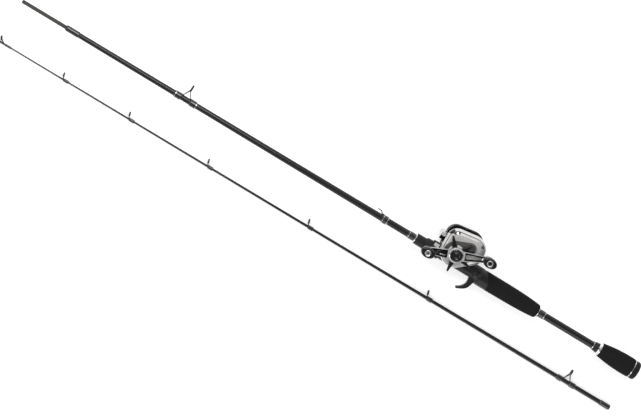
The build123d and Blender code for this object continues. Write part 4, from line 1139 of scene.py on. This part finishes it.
@dataclass
class RodSections:
    """Blanks, wraps, guides and trim of both sections."""

    butt_wraps: tuple[str, ...] = (
        "butt_ferrule_wrap", "butt_guide_wraps", "hook_keeper_wrap", "seat_front_wrap", "shaft_front_wrap",
    )
    tip_wraps: tuple[str, ...] = ("tip_ferrule_wrap", "tip_guide_wraps")
    trim: tuple[TrimPlace, ...] = (
        TrimPlace("butt_guide_wraps", 0, End.FRONT),
        TrimPlace("butt_guide_wraps", 1, End.REAR),
        TrimPlace("hook_keeper_wrap", 0, End.FRONT),
        TrimPlace("hook_keeper_wrap", 0, End.REAR),
        TrimPlace("seat_front_wrap", 0, End.FRONT),
        TrimPlace("shaft_front_wrap", 0, End.REAR),
    )
    keeper_growth: float = 0.3 * MM

    def dress(self) -> None:
        """Give the CAD nodes their finishes."""
        dress_nodes(PALETTE.butt_graphite, "butt_blank")
        dress_nodes(PALETTE.tip_graphite, "tip_blank")
        dress_nodes(PALETTE.bare_spigot, "ferrule_spigot")
        dress_nodes(PALETTE.butt_thread, *self.butt_wraps)
        dress_nodes(PALETTE.tip_thread, *self.tip_wraps)
        dress_nodes(
            PALETTE.guide_wire, "butt_guide_frame", "tip_single_guide_frames", "tip_double_guide_frame", "tip_top",
        )
        dress_nodes(PALETTE.satin_black, "hook_keeper")
        dress_nodes(PALETTE.guide_ceramic, "butt_guide_insert", "tip_guide_inserts")

    def thick_keeper(self) -> None:
        """Build the hook keeper thicker than its CAD wire, so that it shows at the photograph's size."""
        mesh = welded("hook_keeper")
        mesh.normal_update()
        for vert in mesh.verts:
            vert.co += vert.normal * self.keeper_growth
        piece = finished_piece("hook_keeper_wire", mesh, PALETTE.satin_black, Body.BUTT)
        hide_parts("hook_keeper")

    def build(self) -> None:
        """Build the bright rings of the butt section and the hook keeper."""
        TrimLines(Axis.BUTT, Body.BUTT, self.trim, "butt_trim_lines").build()
        self.thick_keeper()


@dataclass
class SeatAndGrips:
    """Reel seat, grips, rings and butt cap."""

    ring_width: float = 0.7 * MM
    ring_rise: float = 0.2 * MM

    def dress(self) -> None:
        """Give the CAD nodes their finishes."""
        dress_nodes(PALETTE.seat_moulding, "reel_seat", "lock_nut", "rear_collar", "main_grip_ring")
        dress_nodes(PALETTE.hood_moulding, "seat_hood")
        dress_nodes(PALETTE.butt_rubber, "butt_cap")
        dress_nodes(PALETTE.bright_trim, "seat_winding_check", "rear_grip_ring", "butt_ring")
        dress_nodes(PALETTE.foam, "main_grip", "rear_grip")

    def front_line(self, node: str) -> None:
        """Build the thin bright ring round a collar's front end.

        Args:
            node: The collar.
        """
        lathe = Lathe(Axis.BUTT)
        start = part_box(node)[0].x
        points = corners(node)
        crest = max(lathe.radius(p) for p in points if p.x < start + self.ring_width)
        low, high, end = crest - self.ring_rise, crest + self.ring_rise, start + self.ring_width
        mesh = bmesh.new()
        lathe.turn(mesh, [(start, low), (start, high), (end, high), (end, low)])
        finished_piece(node + "_front_line", mesh, PALETTE.bright_trim, Body.BUTT)

    def build(self) -> None:
        """Build both foam grips and the thin rings of two collars."""
        JoinedGrip("main_grip", bins=96).build()
        FoamGrip("rear_grip", bins=24).build()
        for node in ("main_grip_ring", "rear_collar"):
            self.front_line(node)


@dataclass
class KnobCap:
    """Bright cap of a handle knob with a sunk dark middle."""

    node: str
    body: Body
    middle: float
    sunk: float = 0.35 * MM
    round: float = 0.4 * MM

    def build(self) -> None:
        """Build the cap's ring, which takes the place of the CAD cap, and its middle."""
        low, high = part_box(self.node)
        spindle = Spindle(((low.x + high.x) / 2, (low.y + high.y) / 2))
        radius, lean = (high.x - low.x) / 2, self.round / 2
        ring = bmesh.new()
        outline = [
            (self.middle, low.z),
            (radius, low.z),
            (radius, high.z - self.round),
            (radius - lean, high.z - lean / 2),
            (radius - self.round, high.z),
            (self.middle + lean, high.z),
            (self.middle, high.z - lean),
        ]
        spindle.turn(ring, outline, closed=True)
        piece = finished_piece(self.node + "_ring", ring, PALETTE.bright_trim, self.body)
        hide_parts(self.node)
        middle, top = bmesh.new(), high.z - self.sunk
        spindle.turn(middle, [(0.0, low.z), (self.middle, low.z), (self.middle, top), (0.0, top)])
        finished_piece(self.node + "_middle", middle, PALETTE.gloss_black, self.body)


@dataclass
class HubCap:
    """Glossy cap over the handle nut, with a turned groove and a bright ring round its foot."""

    node: str = "handle_cap"
    ring_width: float = 1.1 * MM
    ring_height: float = 0.7 * MM
    shares: tuple[tuple[float, float], ...] = (
        (0.0, 0.90), (0.26, 0.88), (0.36, 0.82), (0.40, 0.76), (0.46, 0.76), (0.52, 0.86), (0.62, 0.96), (0.74, 1.0),
        (0.86, 0.97), (0.95, 0.84), (1.0, 0.62), (1.0, 0.0), (0.6, 0.0), (0.6, 0.68), (0.0, 0.68),
    )

    def build(self) -> None:
        """Build the cap, which takes the place of the CAD cap, and the ring."""
        low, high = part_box(self.node)
        spindle = Spindle(((low.x + high.x) / 2, (low.y + high.y) / 2))
        radius, height = (high.x - low.x) / 2, high.z - low.z
        cap = bmesh.new()
        spindle.turn(cap, [(radius * out, low.z + height * up) for out, up in self.shares])
        piece = finished_piece("hub_cap_turned", cap, PALETTE.gloss_black, Body.HANDLE)
        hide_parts(self.node)
        ring, outer = bmesh.new(), radius + self.ring_width
        crest = low.z + self.ring_height
        spindle.turn(ring, [(radius, low.z), (outer, low.z), (radius, crest)], closed=True)
        finished_piece("hub_cap_ring", ring, PALETTE.bright_trim, Body.HANDLE)


@dataclass
class PlateDetails:
    """Painted shade in the oil port, dark screw slots of the gear side plate, and a dark sheet of painted shade in
    front of the far wall.
    """

    port: Point = (627.4 * MM, 43.5 * MM, 27.85 * MM)
    port_radius: float = 1.45 * MM
    port_depth: float = 0.6 * MM
    port_slope: float = 0.54
    plate_front: tuple[float, float] = (630.5 * MM, 32.5 * MM)
    segments: int = 32
    slot_size: Point = (2.6 * MM, 0.6 * MM, 0.3 * MM)
    shade_sheet_size: Point = (8.0 * MM, 7.0 * MM, 1.8 * MM)
    shade_sheet_place: Point = (615.5 * MM, 20.0 * MM, -12.1 * MM)
    shade_sheet_round: float = 0.8 * MM
    shade_sheet_segments: int = 4
    rim_band: float = 0.01 * MM

    def build_port_shade(self) -> None:
        """Build the dark disc of painted shade at the port's bottom, which leans as the plate's rim does."""
        x, y, z = self.port
        inward = (Vector(self.plate_front) - Vector((x, y))).normalized()
        mesh = bmesh.new()
        disc = bmesh.ops.create_circle(mesh, cap_ends=True, segments=self.segments, radius=self.port_radius)
        for vert in disc["verts"]:
            rise = self.port_slope * vert.co.to_2d().dot(inward)
            vert.co += Vector((x, y, z - self.port_depth + rise))
        grown = bmesh.ops.extrude_face_region(mesh, geom=mesh.faces[:])
        top = [item for item in grown["geom"] if isinstance(item, bmesh.types.BMVert)]
        bmesh.ops.translate(mesh, verts=top, vec=(0.0, 0.0, self.port_depth))
        # painted shade: a dark disc at the port's bottom, where shade falls in the recess
        finished_piece("oil_port_shade", mesh, PALETTE.satin_black, Body.BUTT)

    def build_slots(self) -> None:
        """Build the dark slots of the plate screws."""
        mesh = bmesh.new()
        for points in islands("plate_screws"):
            top = max(p.z for p in points)
            rim = [p for p in points if p.z > top - self.rim_band]
            add_block(mesh, self.slot_size, sum(rim, Vector()) / len(rim))
        finished_piece("plate_screw_slots", mesh, PALETTE.satin_black, Body.BUTT)

    def build_shade_sheet(self) -> None:
        """Build the dark sheet of painted shade that stands out in front of the frame's far wall."""
        mesh = bmesh.new()
        # painted shade: a dark sheet against the far wall's inner face, standing in for the shade inside the frame
        add_block(mesh, self.shade_sheet_size, self.shade_sheet_place)
        bmesh.ops.bevel(
            mesh,
            geom=mesh.edges[:],
            offset=self.shade_sheet_round,
            offset_type="OFFSET",
            segments=self.shade_sheet_segments,
            profile=0.5,
            affect="EDGES",
            material=-1,
        )
        finished_piece("far_wall_shade_sheet", mesh, PALETTE.satin_black, Body.BUTT)

    def build(self) -> None:
        """Build the port's painted shade, the slots and the dark sheet of painted shade."""
        self.build_port_shade()
        self.build_slots()
        self.build_shade_sheet()


@dataclass
class CastingReel:
    """Reel body, its works and its handle."""

    front_middle: float = 1.5 * MM
    rear_middle: float = 2.9 * MM
    line_low: float = 26.5 * MM
    line_high: float = 27.2 * MM
    line_rise: float = 0.06 * MM
    line_face: float = 0.2
    line_reach: float = 10.0 * MM
    line_weld: float = 0.01 * MM
    plate_middle: tuple[float, float] = (645.0 * MM, 25.0 * MM)

    def dress(self) -> None:
        """Give the CAD nodes their finishes."""
        dress_nodes(PALETTE.plate_silver, "gear_side_plate")
        dress_nodes(PALETTE.frame_silver, "reel_frame")
        dress_nodes(PALETTE.reel_silver, "front_bar")
        dress_nodes(
            PALETTE.satin_black, "drag_star", "brake_dial", "line_guide", "front_knob", "rear_knob",
            "palm_side_plate", "thumb_bar", "spool",
        )
        dress_nodes(PALETTE.gloss_black, "handle_cap")
        dress_nodes(PALETTE.dark_chrome, "tension_knob")
        dress_nodes(PALETTE.handle_alloy, "handle_arm")
        dress_nodes(PALETTE.white_alloy, "front_knob_cap", "rear_knob_cap", "star_collar")
        dress_nodes(PALETTE.guide_ceramic, "line_guide_eye")
        dress_nodes(
            PALETTE.turned_steel, "drive_shaft", "handle_nut", "knob_posts", "spool_shaft", "worm_shaft",
            "level_wind_bar", "roller_clutch", "spool_bearings", "plate_screws", "drag_washers",
        )
        dress_nodes(PALETTE.cut_brass, "drive_gear", "pinion_gear", "worm_gear", "pawl_cap")

    def rim_line(self) -> None:
        """Build the dark line that runs round the rim of the gear side plate."""
        mesh = welded("gear_side_plate")
        for height, side in ((self.line_low, 1.0), (self.line_high, -1.0)):
            bmesh.ops.bisect_plane(
                mesh,
                geom=mesh.verts[:] + mesh.edges[:] + mesh.faces[:],
                plane_co=(0.0, 0.0, height),
                plane_no=(0.0, 0.0, side),
                clear_inner=True,
            )
        centre = Vector((*self.plate_middle, self.line_low - self.line_reach))
        inner = [
            face
            for face in mesh.faces
            if face.normal.z < self.line_face or face.normal.dot(face.calc_center_median() - centre) < 0.0
        ]
        bmesh.ops.delete(mesh, geom=inner, context="FACES")
        lone = [vert for vert in mesh.verts if not vert.link_faces]
        bmesh.ops.delete(mesh, geom=lone, context="VERTS")
        bmesh.ops.remove_doubles(mesh, verts=mesh.verts, dist=self.line_weld)
        mesh.normal_update()
        bmesh.ops.solidify(mesh, geom=mesh.faces[:], thickness=-self.line_rise)
        finished_piece("plate_rim_line", mesh, PALETTE.satin_black, Body.BUTT)

    def build(self) -> None:
        """Build the caps, the plate's small parts and the line round the plate."""
        KnobCap("front_knob_cap", Body.FRONT_KNOB, self.front_middle).build()
        KnobCap("rear_knob_cap", Body.REAR_KNOB, self.rear_middle).build()
        HubCap().build()
        PlateDetails().build()
        self.rim_line()


@dataclass
class Lamp:
    """One soft area lamp aimed at the reel."""

    name: str
    place: Point
    size: float
    power: float

    def build(self, target: Vector) -> None:
        """Build the lamp.

        Args:
            target: Point that it faces.
        """
        data = bpy.data.lights.new(self.name, "AREA")
        data.size, data.energy = self.size, self.power
        lamp = bpy.data.objects.new(self.name, data)
        lamp.location = self.place
        lamp.rotation_mode = "QUATERNION"
        lamp.rotation_quaternion = (target - Vector(self.place)).to_track_quat("-Z", "Y")
        bpy.context.scene.collection.objects.link(lamp)


@dataclass
class Studio:
    """Floor, lamps, world and the camera at the photograph's angle."""

    target: Point = (0.4426, -0.0335, 0.0004)
    distance: float = 5.0
    tilt_to_tip: float = 6.82
    tilt_to_guides: float = 9.15
    rod_slope: float = 31.05
    lens: float = 196.74
    clip_reach: float = 10.0
    floor_half: float = 12.0
    floor_drop: float = 0.1 * MM
    floor_colour: Colour = (0.82, 0.82, 0.82)
    floor_glow: float = 0.4
    sky_light: float = 0.55
    ceiling: float = 0.3
    ceiling_start: float = 0.35
    ceiling_end: float = 0.85
    side: float = 0.3
    side_start: float = 0.3
    side_end: float = 0.75
    lamps: tuple[Lamp, ...] = (
        Lamp("key", (0.1, 0.9, 1.5), 0.8, 16.0),
        Lamp("fill", (1.3, -1.1, 1.2), 1.2, 8.0),
        Lamp("edge", (-0.6, -0.9, 1.1), 0.9, 6.0),
    )

    def seen(self, sheet: NodeSheet) -> Socket:
        """Mask of the rays that show the background itself.

        Args:
            sheet: Sheet of the floor or the world.

        Returns:
            Socket that is 1 for camera, glossy and transmission rays.
        """
        path = sheet.add("ShaderNodeLightPath")
        first = sheet.math("MAXIMUM", path.outputs["Is Camera Ray"], path.outputs["Is Glossy Ray"])
        return sheet.math("MAXIMUM", first, path.outputs["Is Transmission Ray"])

    def build_floor(self) -> None:
        """Build the pale floor that the reel and the tip section lie on."""
        low = CAD_BOX[0].z - self.floor_drop
        mesh = bmesh.new()
        bmesh.ops.create_grid(mesh, x_segments=1, y_segments=1, size=self.floor_half)
        bmesh.ops.translate(mesh, verts=mesh.verts, vec=(self.target[0], self.target[1], low))
        data = bpy.data.meshes.new("floor")
        mesh.to_mesh(data)
        mesh.free()
        finish = bpy.data.materials.new("pale_floor")
        sheet = NodeSheet.cleared(finish)
        diffuse = sheet.add("ShaderNodeBsdfDiffuse")
        sheet.put(diffuse.inputs["Color"], self.floor_colour)
        glow = sheet.add("ShaderNodeEmission")
        sheet.put(glow.inputs["Strength"], sheet.math("MULTIPLY", self.seen(sheet), self.floor_glow))
        both = sheet.add("ShaderNodeAddShader")
        sheet.put(both.inputs[0], diffuse.outputs[0])
        sheet.put(both.inputs[1], glow.outputs[0])
        sheet.put(sheet.add("ShaderNodeOutputMaterial").inputs["Surface"], both.outputs[0])
        data.materials.append(finish)
        floor = bpy.data.objects.new("floor", data)
        bpy.context.scene.collection.objects.link(floor)

    def build_world(self) -> None:
        """Build a white world whose reflection darkens towards the ceiling and the butt end."""
        world = bpy.data.worlds.new("white_studio")
        sheet = NodeSheet.cleared(world)
        path = sheet.add("ShaderNodeLightPath")
        plain = sheet.math("MAXIMUM", path.outputs["Is Camera Ray"], path.outputs["Is Transmission Ray"])
        direction = sheet.add("ShaderNodeSeparateXYZ")
        sheet.put(direction.inputs[0], sheet.add("ShaderNodeTexCoord").outputs["Generated"])
        overhead = sheet.ease(direction.outputs["Z"], self.ceiling_start, self.ceiling_end, 1.0, self.ceiling)
        beside = sheet.ease(direction.outputs["X"], self.side_start, self.side_end, 1.0, self.side)
        soft = sheet.spread(plain, self.sky_light, 1.0)
        change = sheet.math("SUBTRACT", sheet.math("MULTIPLY", overhead, beside), soft)
        mirrored = sheet.math("MULTIPLY", path.outputs["Is Glossy Ray"], change)
        sky = sheet.add("ShaderNodeBackground")
        sky.inputs["Color"].default_value = (1.0, 1.0, 1.0, 1.0)
        sheet.put(sky.inputs["Strength"], sheet.math("ADD", soft, mirrored))
        sheet.put(sheet.add("ShaderNodeOutputWorld").inputs["Surface"], sky.outputs[0])
        bpy.context.scene.world = world

    def build_camera(self) -> None:
        """Build the camera, turned so that the rod slopes as it does in the photograph."""
        back = Vector((-math.tan(math.radians(self.tilt_to_tip)), math.tan(math.radians(self.tilt_to_guides)), 1.0))
        back.normalize()
        along = Vector((1.0, 0.0, 0.0))
        along = (along - back * along.dot(back)).normalized()
        across = back.cross(along)
        slope = math.radians(self.rod_slope)
        right = along * math.cos(slope) + across * math.sin(slope)
        up = back.cross(right)
        data = bpy.data.cameras.new("camera")
        data.lens = self.lens
        data.clip_end = self.clip_reach * self.distance
        camera = bpy.data.objects.new("camera", data)
        turn = Matrix((right, up, back)).transposed().to_4x4()
        camera.matrix_world = Matrix.Translation(Vector(self.target) + back * self.distance) @ turn
        bpy.context.scene.collection.objects.link(camera)
        bpy.context.scene.camera = camera

    def build(self) -> None:
        """Build the whole studio."""
        self.build_floor()
        self.build_world()
        for lamp in self.lamps:
            lamp.build(Vector(self.target))
        self.build_camera()
        bpy.context.scene.view_settings.view_transform = "Standard"


def main() -> None:
    """Dress the frame, build the new pieces and set up the studio."""
    logging.basicConfig(level=logging.INFO, format="%(message)s")
    sections, seat, reel = RodSections(), SeatAndGrips(), CastingReel()
    for assembly in (sections, seat, reel):
        assembly.dress()
    for assembly in (sections, seat, reel):
        assembly.build()
    Studio().build()


if __name__ == "__main__":
    main()
